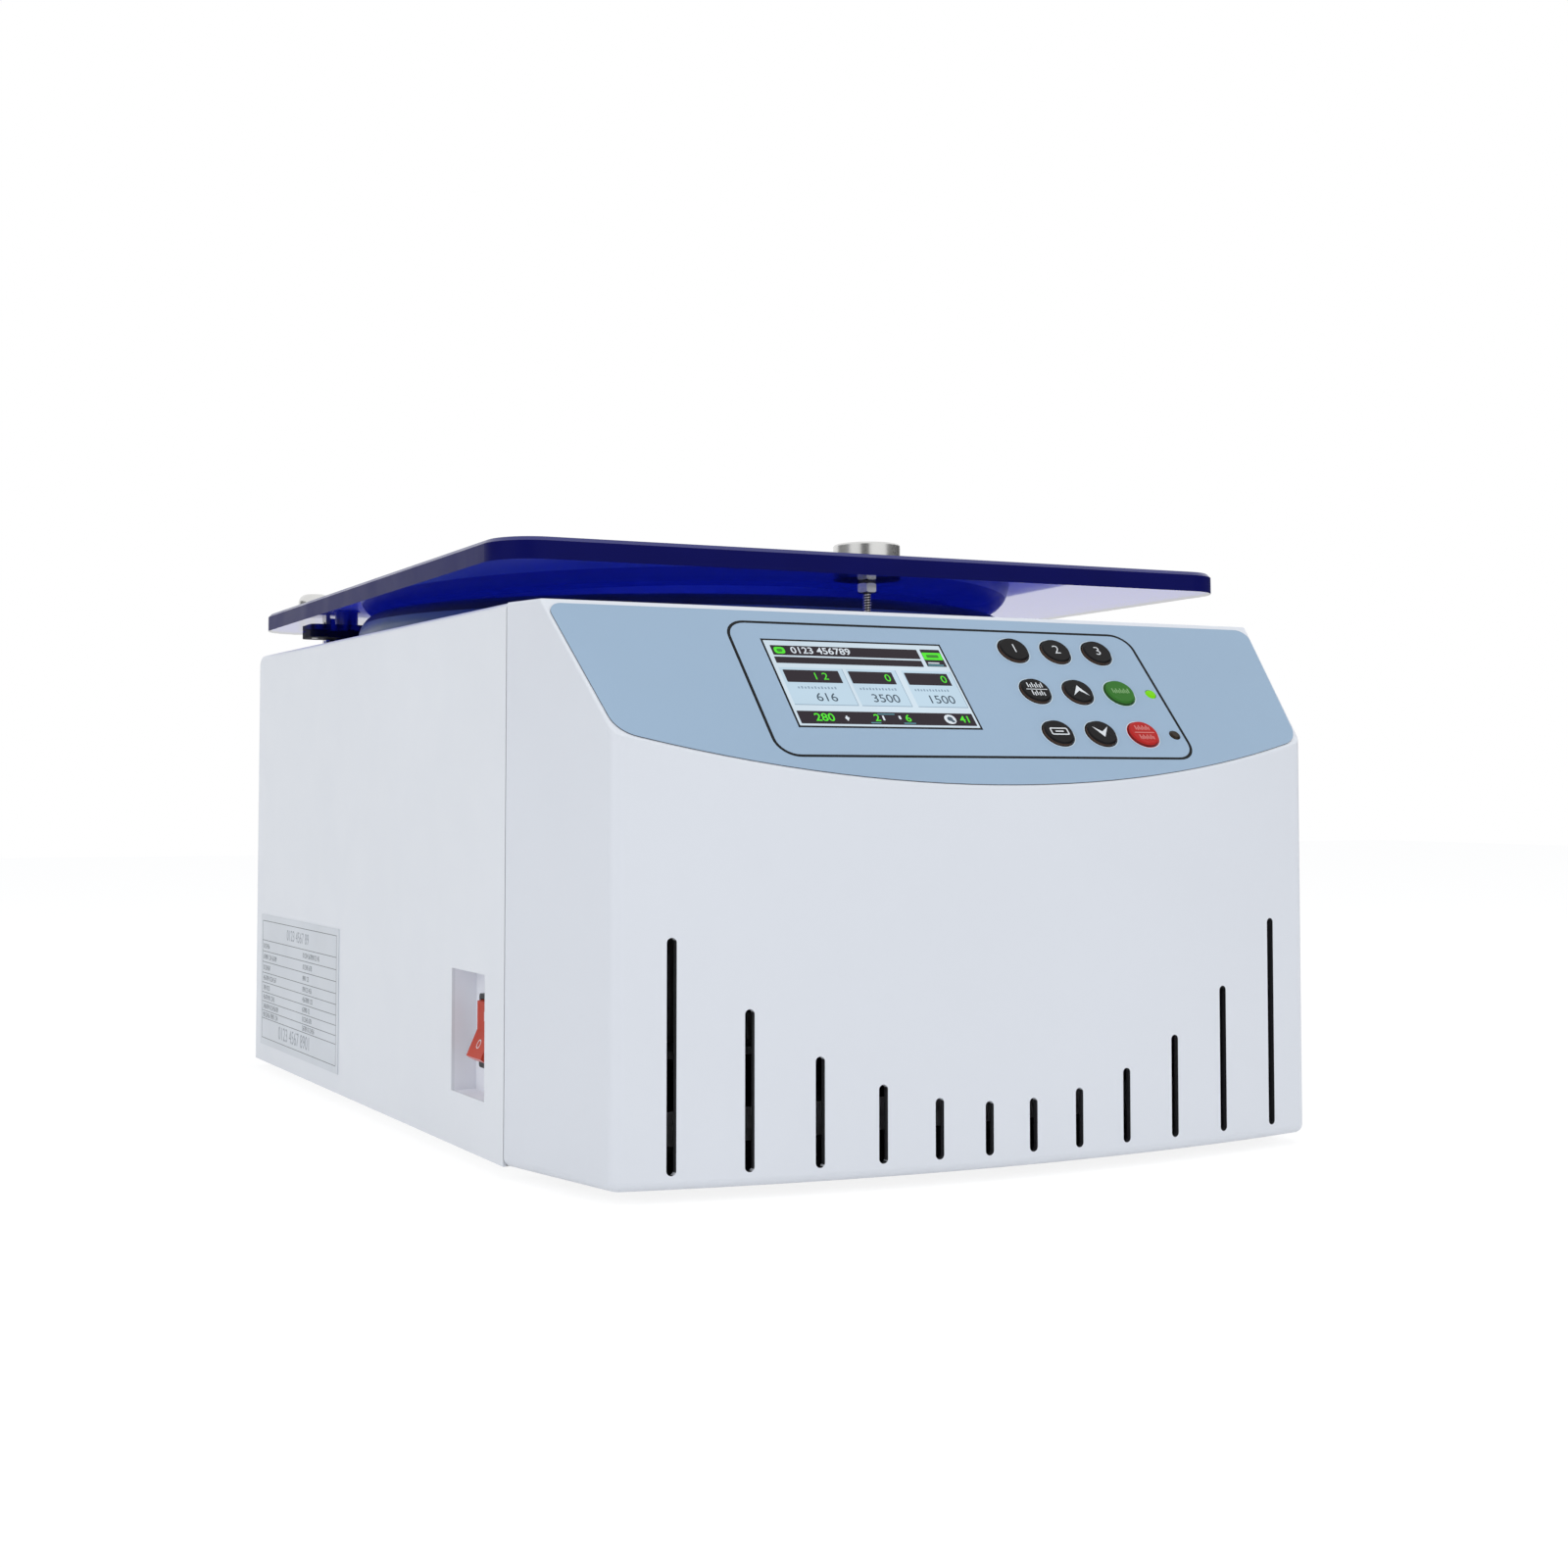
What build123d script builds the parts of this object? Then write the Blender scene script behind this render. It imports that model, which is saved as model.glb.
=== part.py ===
from build123d import *
from math import cos, radians, sin, tan
import os

# Bench centrifuge with a flat acrylic lid, in millimetres.
# It is drawn with X to the right, Y to the rear from the seam between the
# front moulding and the steel case, and Z up from the underside of the case.
# At the end all pieces move so that the origin is on the bench, under the
# middle of the machine.

# Steel case
case_width = 382.0
case_depth = 435.0
case_height = 240.0
sheet = 1.5
rear_fold = 7.0
side_fold = 3.0
rear_frame = 22.0

# Front moulding: flat facets from the seam to the corners, then a bowed front
moulding_wall = 3.0
corner_half_width = 174.5
corner_reach = 80.0
bow_reach = 100.0
seam_gap = 0.6
lip_depth = 8.0
lip_wall = 2.0
lip_clearance = 0.25
lip_start = 26.0
corner_round = 6.0
moulding_round = 1.2
lower_round = 4.0

# Sloped control panel
panel_top_reach = 26.0
panel_angle = 46.9
film_thickness = 0.5
film_side_border = 1.6
film_top_border = 3.0
film_low_border = 0.9
film_top_round = 6.0
film_low_round = 14.0

# Air slots in the bowed front, counted from the middle to each side
slot_width = 4.0
slot_foot = 6.0
slot_count = 6
slot_first_x = 11.0
slot_pitch = 24.0
slot_pitch_growth = 2.0
slot_low_top = 28.5
slot_high_top = 100.5
slot_curve = 2.2
slot_overrun = 10.0

# Display and keys, placed by X and by the distance down the panel
display_width = 90.0
display_height = 53.5
display_x = -44.5
display_down = 47.8
display_module_rim = 4.0
display_module_depth = 7.0
fit_gap = 0.25
key_radius = 7.4
key_rise = 1.6
key_flange = 1.4
key_flange_thickness = 1.2
key_stem = 5.0
key_edge = 0.7
key_travel = 0.8
key_first_x = 39.0
key_pitch_x = 23.0
key_first_down = 23.5
key_pitch_down = 26.5
lamp_radius = 2.6
lamp_rise = 0.8
lamp_x = 102.7
board_gap = 9.0
board_thickness = 1.6
board_margin = 12.0
board_post_inset = 3.0
board_post = 4.0
tact_size = 6.0

# Chamber
chamber_y = 234.0
bowl_radius = 150.0
bowl_wall = 1.2
bowl_floor = 96.0
bowl_corner = 18.0
bowl_flange = 16.0
collar_base_radius = 181.0
collar_top_radius = 169.0
collar_height = 9.0
gasket_height = 15.0
gasket_inset = 2.0
gasket_squeeze_gap = 0.3
case_hole_margin = 5.0

# Base tray and feet
tray_thickness = 2.0
tray_wall = 18.0
tray_clearance = 0.3
foot_height = 5.0
foot_radius = 15.0
foot_taper = 1.5
foot_side_inset = 50.0
foot_front_y = 40.0
foot_rear_inset = 45.0

# Motor and drive
damper_height = 20.0
damper_radius = 13.0
damper_offset = 70.0
mount_size = 178.0
mount_thickness = 4.0
mount_hole_margin = 4.0
motor_radius = 62.0
motor_wall = 6.0
motor_height = 62.0
motor_edge = 4.0
bearing_radius = 14.0
bearing_height = 9.0
shaft_radius = 6.0
shaft_shoulder = 9.0
running_gap = 0.04
stator_inner = 33.0
stator_height = 34.0
boot_radius = 13.0
boot_wall = 2.4
boot_lip = 9.0
boot_lip_thickness = 1.6

# Angle rotor
tube_count = 6
tube_tilt = 40.0
tube_radius = 15.0
tube_depth = 92.0
tube_wall = 5.0
tube_cone = 15.0
tube_tip_radius = 4.0
mouth_radius = 52.0
rotor_mouth_z = 205.0
hub_radius = 18.0
hub_foot_z = 150.0
rotor_web = 22.0
nut_radius = 15.0
nut_height = 15.0
nut_edge = 2.0
nut_flutes = 8
nut_flute_radius = 3.0
nut_thread = 10.5
cushion_height = 4.0

# Lid, seen flat in its own plane: Y runs to the rear from the rear edge
lid_half_width = 194.4
lid_length = 422.0
lid_thickness = 10.0
lid_corner = 22.0
lid_bevel = 1.8
lid_rear_y = 419.3
lid_rise = 12.6
lid_tilt = 0.906

# Latch at the front of the lid
knob_radius = 16.0
knob_height = 7.7
knob_roof = 2.0
knob_round = 1.0
latch_y = 25.0
stud_radius = 1.75
stud_drop = 43.0
stud_neck_radius = 1.1
stud_neck_length = 7.0
stud_tip_length = 5.0
nut_across_flats = 8.8
latch_nut_height = 4.4
latch_nut_edge = 0.5
washer_radius = 4.3
washer_thickness = 0.8
bush_radius = 5.2
bush_wall = 2.2
bush_flange = 1.4
bush_flange_width = 2.0
bush_depth = 9.0
lock_width = 44.0
lock_length = 34.0
lock_height = 24.0
lock_start_y = 38.0
lock_wall = 4.0
bolt_width = 12.0
bolt_thickness = 3.2
bolt_travel = 8.0
bolt_gap = 0.2
bolt_hook = 0.5
bolt_notch_gap = 0.25

# Lid hinges
hinge_x = 157.0
hinge_back = 6.2
hinge_drop = 5.7
knuckle_inset = 6.0
knuckle_radius = 4.2
knuckle_width = 7.0
tongue_gap = 0.5
pin_radius = 2.0
pin_overhang = 0.5
ear_width = 2.5
ear_gap = 0.35
bracket_thickness = 1.5
bracket_width = 26.0
bracket_front = 6.3
bracket_rear = 12.0
bracket_corner = 3.0
leaf_width = 32.0
leaf_length = 24.0
leaf_rear = 12.3
leaf_thickness = 3.8
leaf_corner = 4.0
cap_spread = 11.0
cap_from_rear = 24.3
cap_radius = 9.5
cap_height = 12.0
cap_round = 5.0
cap_shank_radius = 2.0
buffer_radius = 6.7
buffer_plate_radius = 8.0
buffer_plate = 1.0
buffer_inset = 9.0
buffer_from_rear = 21.8

# Switch recess in the left side
recess_y = 46.8
recess_z = 51.6
recess_length = 44.5
recess_height = 55.0
recess_depth = 11.7
bezel_height = 33.0
bezel_length = 25.0
bezel_thickness = 2.0
bezel_border = 2.0
bezel_corner = 1.5
switch_depth = 22.0
rocker_radius = 14.0
rocker_width = 19.0
rocker_gap = 0.3
rocker_tilt = 12.0
rocker_middle = 4.0
rocker_back = 7.0

# Bare plate low on the left side
plate_front_y = 254.0
plate_rear_y = 420.0
plate_foot_z = 10.0
plate_top_z = 86.0
plate_thickness = 0.4

# Rear panel, fan and inlets
rear_plate = 2.0
rear_overlap = 6.0
fan_size = 92.0
fan_depth = 25.0
fan_from_side = 96.0
fan_z = 82.0
fan_hole_radius = 43.0
fan_hub_radius = 16.0
fan_blade_count = 7
fan_blade_gap = 1.5
fan_blade_width = 24.0
fan_blade_thickness = 1.6
fan_blade_angle = 38.0
fan_blade_root = 3.0
fan_corner = 5.0
fan_spoke = 3.0
fan_wheel_gap = 1.0
fan_wheel_inset = 3.0
fan_axle_radius = 2.5
fan_axle_length = 15.0
guard_thickness = 2.0
guard_ring_width = 2.5
guard_ring_pitch = 14.0
guard_arm_width = 4.0
guard_arm_length = 110.0
inlet_from_side = 96.0
inlet_z = 55.0
inlet_width = 50.0
inlet_height = 23.0
inlet_flange = 3.0
inlet_corner = 4.0
inlet_wall = 1.6
inlet_floor = 4.0
inlet_hole_width = 27.0
inlet_hole_height = 19.0
inlet_depth = 26.0
inlet_screw_pitch = 40.0
inlet_screw_radius = 1.7
contact_thickness = 2.0
contact_height = 4.0
contact_pitch = 7.0
contact_drop = 1.5
contact_rise = 3.0
fuse_from_side = 46.0
fuse_radius = 8.0
fuse_body_radius = 6.2
fuse_depth = 28.0
fuse_flange = 3.0
fuse_slot_length = 11.0
fuse_slot_width = 2.0
fuse_slot_depth = 1.0

# Drive electronics and screws
drive_wall_gap = 18.0
drive_before_chamber = 44.0
drive_width = 70.0
drive_length = 130.0
drive_post = 8.0
drive_post_width = 6.0
drive_post_inset = 5.0
capacitor_radius = 8.0
capacitor_height = 26.0
capacitor_pitch = 20.0
capacitor_inset = 13.0
sink_width = 36.0
sink_height = 34.0
sink_fins = 7
sink_fin = 1.6
sink_base = 5.0
sink_margin = 3.0
sink_length = 104.0
screw_head_radius = 4.0
screw_head_height = 2.0
tray_screw_inset = 12.0

# Lines that several pieces share
case_half = case_width / 2
tray_top = tray_thickness
bowl_outer = bowl_radius + bowl_wall
collar_top = case_height + collar_height
lid_rear_z = case_height + lid_rise
motor_foot = tray_top + damper_height + mount_thickness
motor_top = motor_foot + motor_height
front_y = -bow_reach
rear_y = case_depth + screw_head_height
middle_y = (front_y + rear_y) / 2
fan_x = fan_from_side - case_half
inlet_x = case_half - inlet_from_side
fuse_x = case_half - fuse_from_side
drive_x = case_half - drive_wall_gap - drive_width / 2
drive_y = chamber_y - drive_before_chamber
cut_size = 900.0

panel = Plane(
    origin=(0, -panel_top_reach, case_height),
    x_dir=(1, 0, 0),
    z_dir=(0, -sin(radians(panel_angle)), cos(radians(panel_angle))),
)
lid_plane = Plane(
    origin=(0, lid_rear_y, lid_rear_z),
    x_dir=(1, 0, 0),
    z_dir=(0, sin(radians(lid_tilt)), cos(radians(lid_tilt))),
)
hinge_axis = lid_plane.from_local_coords(Vector(0, -hinge_back, -hinge_drop))
latch_local_y = lid_plane.to_local_coords(Vector(0, latch_y, lid_rear_z)).Y
recess_floor_x = -case_half + recess_depth


def save(node, shape):
    placed = Pos(0, -middle_y, foot_height) * shape
    export_step(placed, f"parts/{node}.step")


def group(pieces):
    return Compound([solid for piece in pieces for solid in piece.solids()])


def turned(points, y=0.0):
    profile = Plane.XZ * make_face(Polyline(*points, close=True))
    return Pos(0, y, 0) * revolve(profile, Axis.Z)


def ring(outer, inner, low, high, x=0.0, y=0.0):
    height = high - low
    body = Cylinder(outer, height) - Cylinder(inner, height + 2)
    return Pos(x, y, low + height / 2) * body


def disc(radius, low, high, x=0.0, y=0.0):
    height = high - low
    return Pos(x, y, low + height / 2) * Cylinder(radius, height)


def block(x_range, y_range, z_range):
    size = [pair[1] - pair[0] for pair in (x_range, y_range, z_range)]
    middle = [(pair[0] + pair[1]) / 2 for pair in (x_range, y_range, z_range)]
    return Pos(*middle) * Box(*size)


def below_lid(gap):
    # Everything under the lid's lower face, less a gap
    return lid_plane * Pos(0, 0, -gap - cut_size / 2) * Box(cut_size, 2 * cut_size, cut_size)


def folded_block(inset, overrun):
    body = block(
        (-case_half + inset, case_half - inset),
        (-overrun, case_depth - inset),
        (-overrun, case_height - inset),
    )
    rear_top = body.edges().filter_by(Axis.X).sort_by(lambda edge: edge.center().Y + edge.center().Z)
    body = fillet(rear_top[-1], rear_fold - inset)
    long_top = body.edges().filter_by(Axis.Y).group_by(Axis.Z)[-1]
    upright = body.edges().filter_by(Axis.Z).group_by(Axis.Y)[-1]
    return fillet(long_top + upright, side_fold - inset)


def case_cover():
    shell = folded_block(0, 0) - folded_block(sheet, 1)
    shell -= disc(bowl_outer + case_hole_margin, case_height - 2 * sheet, case_height + 1, y=chamber_y)
    shell -= disc(bush_radius + bush_wall + fit_gap, case_height - 2 * sheet, case_height + 1, y=latch_y)
    shell -= block(
        (-case_half - 1, -case_half + 2 * sheet),
        (recess_y - recess_length / 2, recess_y + recess_length / 2),
        (recess_z - recess_height / 2, recess_z + recess_height / 2),
    )
    shell -= block(
        (-case_half + rear_frame, case_half - rear_frame),
        (case_depth - 2 * sheet, case_depth + 1),
        (rear_frame, case_height - rear_frame),
    )
    return shell


def front_block(inset):
    # The moulding's outline run past the seam, cut by the sloped panel
    half = case_half
    past_seam = 30.0
    side = Polyline((-half, past_seam), (-half, 0), (-corner_half_width, -corner_reach))
    bow = ThreePointArc(
        (-corner_half_width, -corner_reach), (0, -bow_reach), (corner_half_width, -corner_reach)
    )
    other = Polyline(
        (corner_half_width, -corner_reach), (half, 0), (half, past_seam), (-half, past_seam)
    )
    plan = make_face(side + bow + other)
    plan = fillet(plan.vertices().group_by(Axis.Y)[0], corner_round)
    if inset > 0:
        plan = offset(plan, amount=-inset, kind=Kind.INTERSECTION)
    body = Pos(0, 0, inset) * extrude(plan, case_height - 2 * inset)
    body -= panel * Pos(0, 0, cut_size / 2 - inset) * Box(cut_size, cut_size, cut_size)
    return body


def panel_places():
    places = []
    for row in range(3):
        for column in range(3):
            x = key_first_x + column * key_pitch_x
            down = key_first_down + row * key_pitch_down
            places.append((x, down))
    return places


def lamp_places():
    return [(lamp_x, key_first_down + row * key_pitch_down) for row in (1, 2)]


def panel_cuts(depth, gap):
    # The display window, key holes and lamp holes, cut square to the panel
    cuts = Pos(display_x, -display_down, 0) * Box(display_width + 2 * gap, display_height + 2 * gap, depth)
    for x, down in panel_places():
        cuts += Pos(x, -down, 0) * Cylinder(key_radius + gap, depth)
    for x, down in lamp_places():
        cuts += Pos(x, -down, 0) * Cylinder(lamp_radius + gap, depth)
    return panel * cuts


def air_slots():
    slots = []
    x = slot_first_x
    last_x = slot_first_x + (slot_count - 1) * slot_pitch
    last_x += slot_pitch_growth * (slot_count - 1) * (slot_count - 2) / 2
    for index in range(slot_count):
        top = slot_low_top + (slot_high_top - slot_low_top) * (x / last_x) ** slot_curve
        length = top - slot_foot
        for side in (-1, 1):
            upright = Rot(0, 0, 90) * SlotOverall(length, slot_width)
            outline = Pos(side * x, slot_foot + length / 2) * upright
            front = Plane.XZ.offset(bow_reach + slot_overrun) * outline
            slots.append(extrude(front, corner_reach - bow_reach - 2 * slot_overrun))
        x += slot_pitch + index * slot_pitch_growth
    return slots


def front_cover():
    outer = front_block(0)
    low = outer.edges().filter_by(lambda edge: edge.center().Z < 1 and edge.center().Y < -1)
    outer = fillet(low, lower_round)
    sharp = outer.edges().filter_by(
        lambda edge: edge.center().Z > lower_round + 1
        and edge.center().Y < 29
        and not (abs(abs(edge.center().X) - case_half) < 0.01 and abs(edge.center().Y) < 0.01)
    )
    outer = fillet(sharp, moulding_round)
    shell = outer - front_block(moulding_wall)
    shell -= block((-cut_size, cut_size), (-seam_gap, cut_size), (-1, cut_size))
    lip = folded_block(sheet + lip_clearance, 2 * seam_gap + lip_wall)
    lip -= folded_block(sheet + lip_clearance + lip_wall / 2, 40)
    lip &= block(
        (-case_half, case_half),
        (-2 * seam_gap - lip_wall, lip_depth),
        (lip_start, case_height),
    )
    shell += lip
    shell -= panel_cuts(8 * moulding_wall, fit_gap)
    for slot in air_slots():
        shell -= slot
    return shell


def film_outline():
    slope = 1 / cos(radians(panel_angle))
    facet = (case_half - corner_half_width) / corner_reach
    top_x = case_half - panel_top_reach * facet - film_side_border
    low_x = corner_half_width - film_side_border
    low_down = (corner_reach - panel_top_reach) * slope - film_low_border
    bow_down = (bow_reach - panel_top_reach) * slope - film_low_border
    lines = Polyline(
        (-low_x, -low_down),
        (-top_x, -film_top_border),
        (top_x, -film_top_border),
        (low_x, -low_down),
    )
    bow = ThreePointArc((low_x, -low_down), (0, -bow_down), (-low_x, -low_down))
    sheet_face = make_face(lines + bow)
    low = sheet_face.vertices().group_by(Axis.Y)[0]
    sheet_face = fillet(low, film_low_round)
    high = sheet_face.vertices().group_by(Axis.Y)[-1]
    return fillet(high, film_top_round)


def control_overlay():
    film = panel * extrude(film_outline(), film_thickness)
    return film - panel_cuts(8 * film_thickness, fit_gap)


def display_window():
    depth = moulding_wall + film_thickness
    glass = Box(display_width, display_height, depth)
    return panel * Pos(display_x, -display_down, film_thickness - depth / 2) * glass


def display_module():
    width = display_width + 2 * display_module_rim
    height = display_height + 2 * display_module_rim
    module = Pos(display_x, -display_down, -moulding_wall - display_module_depth / 2) * Box(
        width, height, display_module_depth
    )
    return panel * module


def key_cap():
    # A round cap, a flange that keeps it in its hole, and a square stem behind
    top = film_thickness + key_rise
    cap = Pos(0, 0, (top - moulding_wall) / 2) * Cylinder(key_radius, top + moulding_wall)
    cap = chamfer(cap.edges().group_by(Axis.Z)[-1], key_edge)
    flange_top = -moulding_wall - fit_gap
    flange = Pos(0, 0, flange_top - key_flange_thickness / 2)
    neck = Pos(0, 0, flange_top) * Cylinder(key_radius, 2 * fit_gap)
    flange = flange * Cylinder(key_radius + key_flange, key_flange_thickness)
    stem_foot = -moulding_wall - board_gap + tact_size / 2 + key_travel + fit_gap
    stem_top = flange_top - key_flange_thickness / 2
    stem = Pos(0, 0, (stem_foot + stem_top) / 2) * Box(key_stem, key_stem, stem_top - stem_foot)
    return cap + neck + flange + stem


def save_keys():
    names = ["one", "two", "three", "mode", "up", "start", "set", "down", "stop"]
    for name, (x, down) in zip(names, panel_places()):
        save(f"key_{name}", panel * Pos(x, -down, 0) * key_cap())


def control_board():
    # The board behind the keys, on posts from the moulding, with key switches
    left = key_first_x - board_margin
    right = lamp_x + board_margin
    top = key_first_down - board_margin
    foot = key_first_down + 2 * key_pitch_down + board_margin
    face = -moulding_wall - board_gap
    board = Pos((left + right) / 2, -(top + foot) / 2, face - board_thickness / 2)
    board = board * Box(right - left, foot - top, board_thickness)
    for x, down in panel_places():
        board += Pos(x, -down, face + tact_size / 4) * Box(tact_size, tact_size, tact_size / 2)
    for x in (left + board_post_inset, right - board_post_inset):
        for down in (top + board_post_inset, foot - board_post_inset):
            board += Pos(x, -down, face + board_gap / 2) * Box(board_post, board_post, board_gap)
    return panel * board


def status_leds():
    lamps = []
    face = -moulding_wall - board_gap
    top = film_thickness + lamp_rise
    for x, down in lamp_places():
        lamp = Pos(0, 0, (face + top) / 2) * Cylinder(lamp_radius, top - face)
        lamp = chamfer(lamp.edges().group_by(Axis.Z)[-1], lamp_rise)
        lamps.append(panel * Pos(x, -down, 0) * lamp)
    return group(lamps)


def ring_profile():
    # Quarter ellipse from the collar's foot up to the gasket's crown
    inner = bowl_outer + fit_gap
    shoulder = collar_base_radius - collar_top_radius
    quarter_turn = 90
    arc = EllipticalCenterArc(
        (collar_top_radius, case_height), shoulder, gasket_height, start_angle=0, arc_size=quarter_turn
    )
    crown = case_height + gasket_height
    lines = Polyline(
        (collar_top_radius, crown),
        (inner, crown),
        (inner, case_height),
        (collar_base_radius, case_height),
    )
    return Plane.XZ * make_face(arc + lines)


def ring_solid():
    return Pos(0, chamber_y, 0) * revolve(ring_profile(), Axis.Z)


def chamber_collar():
    above = block((-cut_size, cut_size), (-cut_size, cut_size), (collar_top, cut_size))
    return ring_solid() - above


def chamber_gasket():
    under = block((-cut_size, cut_size), (-cut_size, cut_size), (0, collar_top))
    gasket = ring_solid() - under
    flange_room = disc(bowl_radius + bowl_flange + fit_gap, 0, collar_top + bowl_wall, y=chamber_y)
    gasket -= flange_room
    gasket -= disc(bowl_radius + gasket_inset, 0, case_height + 2 * gasket_height, y=chamber_y)
    return gasket & below_lid(gasket_squeeze_gap)


def bowl_half(radius, floor, top, corner):
    # A round pan's outline with a curved corner at its floor
    side = Polyline((0, floor), (radius - corner, floor))
    bend = RadiusArc((radius - corner, floor), (radius, floor + corner), -corner)
    rest = Polyline((radius, floor + corner), (radius, top), (0, top), (0, floor))
    return Pos(0, chamber_y, 0) * revolve(Plane.XZ * make_face(side + bend + rest), Axis.Z)


def chamber_bowl():
    rim = collar_top + bowl_wall
    bowl = bowl_half(bowl_outer, bowl_floor, rim, bowl_corner + bowl_wall)
    bowl += disc(bowl_radius + bowl_flange, collar_top, rim, y=chamber_y)
    bowl -= bowl_half(bowl_radius, bowl_floor + bowl_wall, rim + 1, bowl_corner)
    return bowl - disc(boot_radius + boot_wall + fit_gap, 0, bowl_floor + 2 * bowl_wall, y=chamber_y)


def shaft_boot():
    lip_foot = bowl_floor + bowl_wall
    high = lip_foot + boot_lip_thickness
    neck = ring(boot_radius + boot_wall, boot_radius, motor_top, high, y=chamber_y)
    lip_radius = boot_radius + boot_wall + boot_lip
    return neck + ring(lip_radius, boot_radius, lip_foot, lip_foot + boot_lip_thickness, y=chamber_y)


def base_plate():
    half = case_half - sheet - tray_clearance
    rear = case_depth - sheet - rear_plate - tray_clearance
    tray = block((-half, half), (tray_clearance, rear), (0, tray_wall))
    hollow = block(
        (-half + tray_thickness, half - tray_thickness),
        (tray_clearance + tray_thickness, rear - tray_thickness),
        (tray_thickness, tray_wall + 1),
    )
    return tray - hollow


def foot_places():
    x = case_half - foot_side_inset
    return [(side * x, y) for side in (-1, 1) for y in (foot_front_y, case_depth - foot_rear_inset)]


def rubber_feet():
    foot = Pos(0, 0, -foot_height / 2) * Cone(foot_radius - foot_taper, foot_radius, foot_height)
    return group(Pos(x, y, 0) * foot for x, y in foot_places())


def screw():
    # The head of a pan-head screw that points up, below the origin
    return Pos(0, 0, -screw_head_height / 2) * Cylinder(screw_head_radius, screw_head_height)


def base_screws():
    places = []
    for side in (-1, 1):
        for share in (0.1, 0.37, 0.63, 0.9):
            places.append((side * (case_half - tray_screw_inset), share * case_depth))
    return group(Pos(x, y, 0) * screw() for x, y in places)


def rear_screw_places():
    x = case_half - rear_frame / 2
    z = case_height - rear_frame / 2
    middle = case_height / 2
    return [(-x, rear_frame), (x, rear_frame), (-x, middle), (x, middle), (-x / 2, z), (x / 2, z)]


def rear_screws():
    face = Plane(origin=(0, case_depth, 0), x_dir=(-1, 0, 0), z_dir=(0, 1, 0))
    return group(face * Pos(-x, z, 0) * Rot(180, 0, 0) * screw() for x, z in rear_screw_places())


def dampers():
    places = [(a * damper_offset, chamber_y + b * damper_offset) for a in (-1, 1) for b in (-1, 1)]
    return group(disc(damper_radius, tray_top, tray_top + damper_height, x, y) for x, y in places)


def motor_mount_plate():
    low = tray_top + damper_height
    plate = block((-mount_size / 2, mount_size / 2), (-mount_size / 2, mount_size / 2), (low, motor_foot))
    plate = fillet(plate.edges().filter_by(Axis.Z), damper_radius)
    hole = disc(bearing_radius + mount_hole_margin, low - 1, motor_foot + 1, y=chamber_y)
    return Pos(0, chamber_y, 0) * plate - hole


def motor_housing():
    can = disc(motor_radius, motor_foot, motor_top, y=chamber_y)
    can = chamfer(can.edges().group_by(Axis.Z)[-1], motor_edge)
    low, high = motor_foot + bearing_height, motor_top - bearing_height
    can -= disc(motor_radius - motor_wall, low, high, y=chamber_y)
    return can - disc(bearing_radius + running_gap, motor_foot - 1, motor_top + 1, y=chamber_y)


def motor_bearings():
    outer = bearing_radius
    inner = shaft_radius + running_gap
    low = ring(outer, inner, motor_foot, motor_foot + bearing_height, y=chamber_y)
    high = ring(outer, inner, motor_top - bearing_height, motor_top, y=chamber_y)
    return group([low, high])


def stator_span():
    middle = (motor_foot + motor_top) / 2
    return middle - stator_height / 2, middle + stator_height / 2


def motor_stator():
    low, high = stator_span()
    return ring(motor_radius - motor_wall - fit_gap, stator_inner, low, high, y=chamber_y)


def motor_armature():
    low, high = stator_span()
    return ring(stator_inner - 2 * fit_gap, shaft_radius + running_gap, low, high, y=chamber_y)


def tube_line(depth, away):
    # A point in the radial plane: depth down a tube, and off its axis
    tilt = radians(tube_tilt)
    r = mouth_radius + depth * sin(tilt) + away * cos(tilt)
    z = rotor_mouth_z - depth * cos(tilt) + away * sin(tilt)
    return r, z


def drive_shaft():
    dish_z = tube_line(0, -tube_radius - tube_wall)[1]
    thread_top = dish_z + nut_thread
    points = [
        (0, motor_foot + 1), (shaft_radius, motor_foot + 1), (shaft_radius, motor_top + 2),
        (shaft_shoulder, motor_top + 2), (shaft_shoulder, hub_foot_z), (shaft_radius, hub_foot_z),
        (shaft_radius, thread_top - 1), (shaft_radius - 1, thread_top), (0, thread_top),
    ]
    return turned(points, chamber_y)


def rotor_profile():
    # Outer and inner cones run along the tubes, the dished top lies square to them
    side = tube_radius + tube_wall
    rim = tube_line(0, side)
    outer_foot = tube_line(tube_depth, side)
    outer_toe = tube_line(tube_depth + tube_wall, side * 0.6)
    inner_toe = tube_line(tube_depth + tube_wall, -side * 0.7)
    inner_foot = tube_line(tube_depth, -side)
    dish = tube_line(0, -side)
    web_z = dish[1] - rotor_web
    web_r = dish[0] + rotor_web * tan(radians(tube_tilt))
    bore = shaft_radius + running_gap
    return [
        (bore, hub_foot_z), (hub_radius, hub_foot_z), (hub_radius, web_z), (web_r, web_z),
        inner_foot, inner_toe, outer_toe, outer_foot, rim, dish, (bore, dish[1]),
    ]


def tube_places():
    return [360.0 / tube_count * index for index in range(tube_count)]


def down_tube(shape, angle):
    # Puts a shape, drawn with its mouth at the origin and running down -Z, at a tube place
    seated = Pos(mouth_radius, 0, rotor_mouth_z) * Rot(0, -tube_tilt, 0) * shape
    return Pos(0, chamber_y, 0) * Rot(0, 0, angle) * seated


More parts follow.
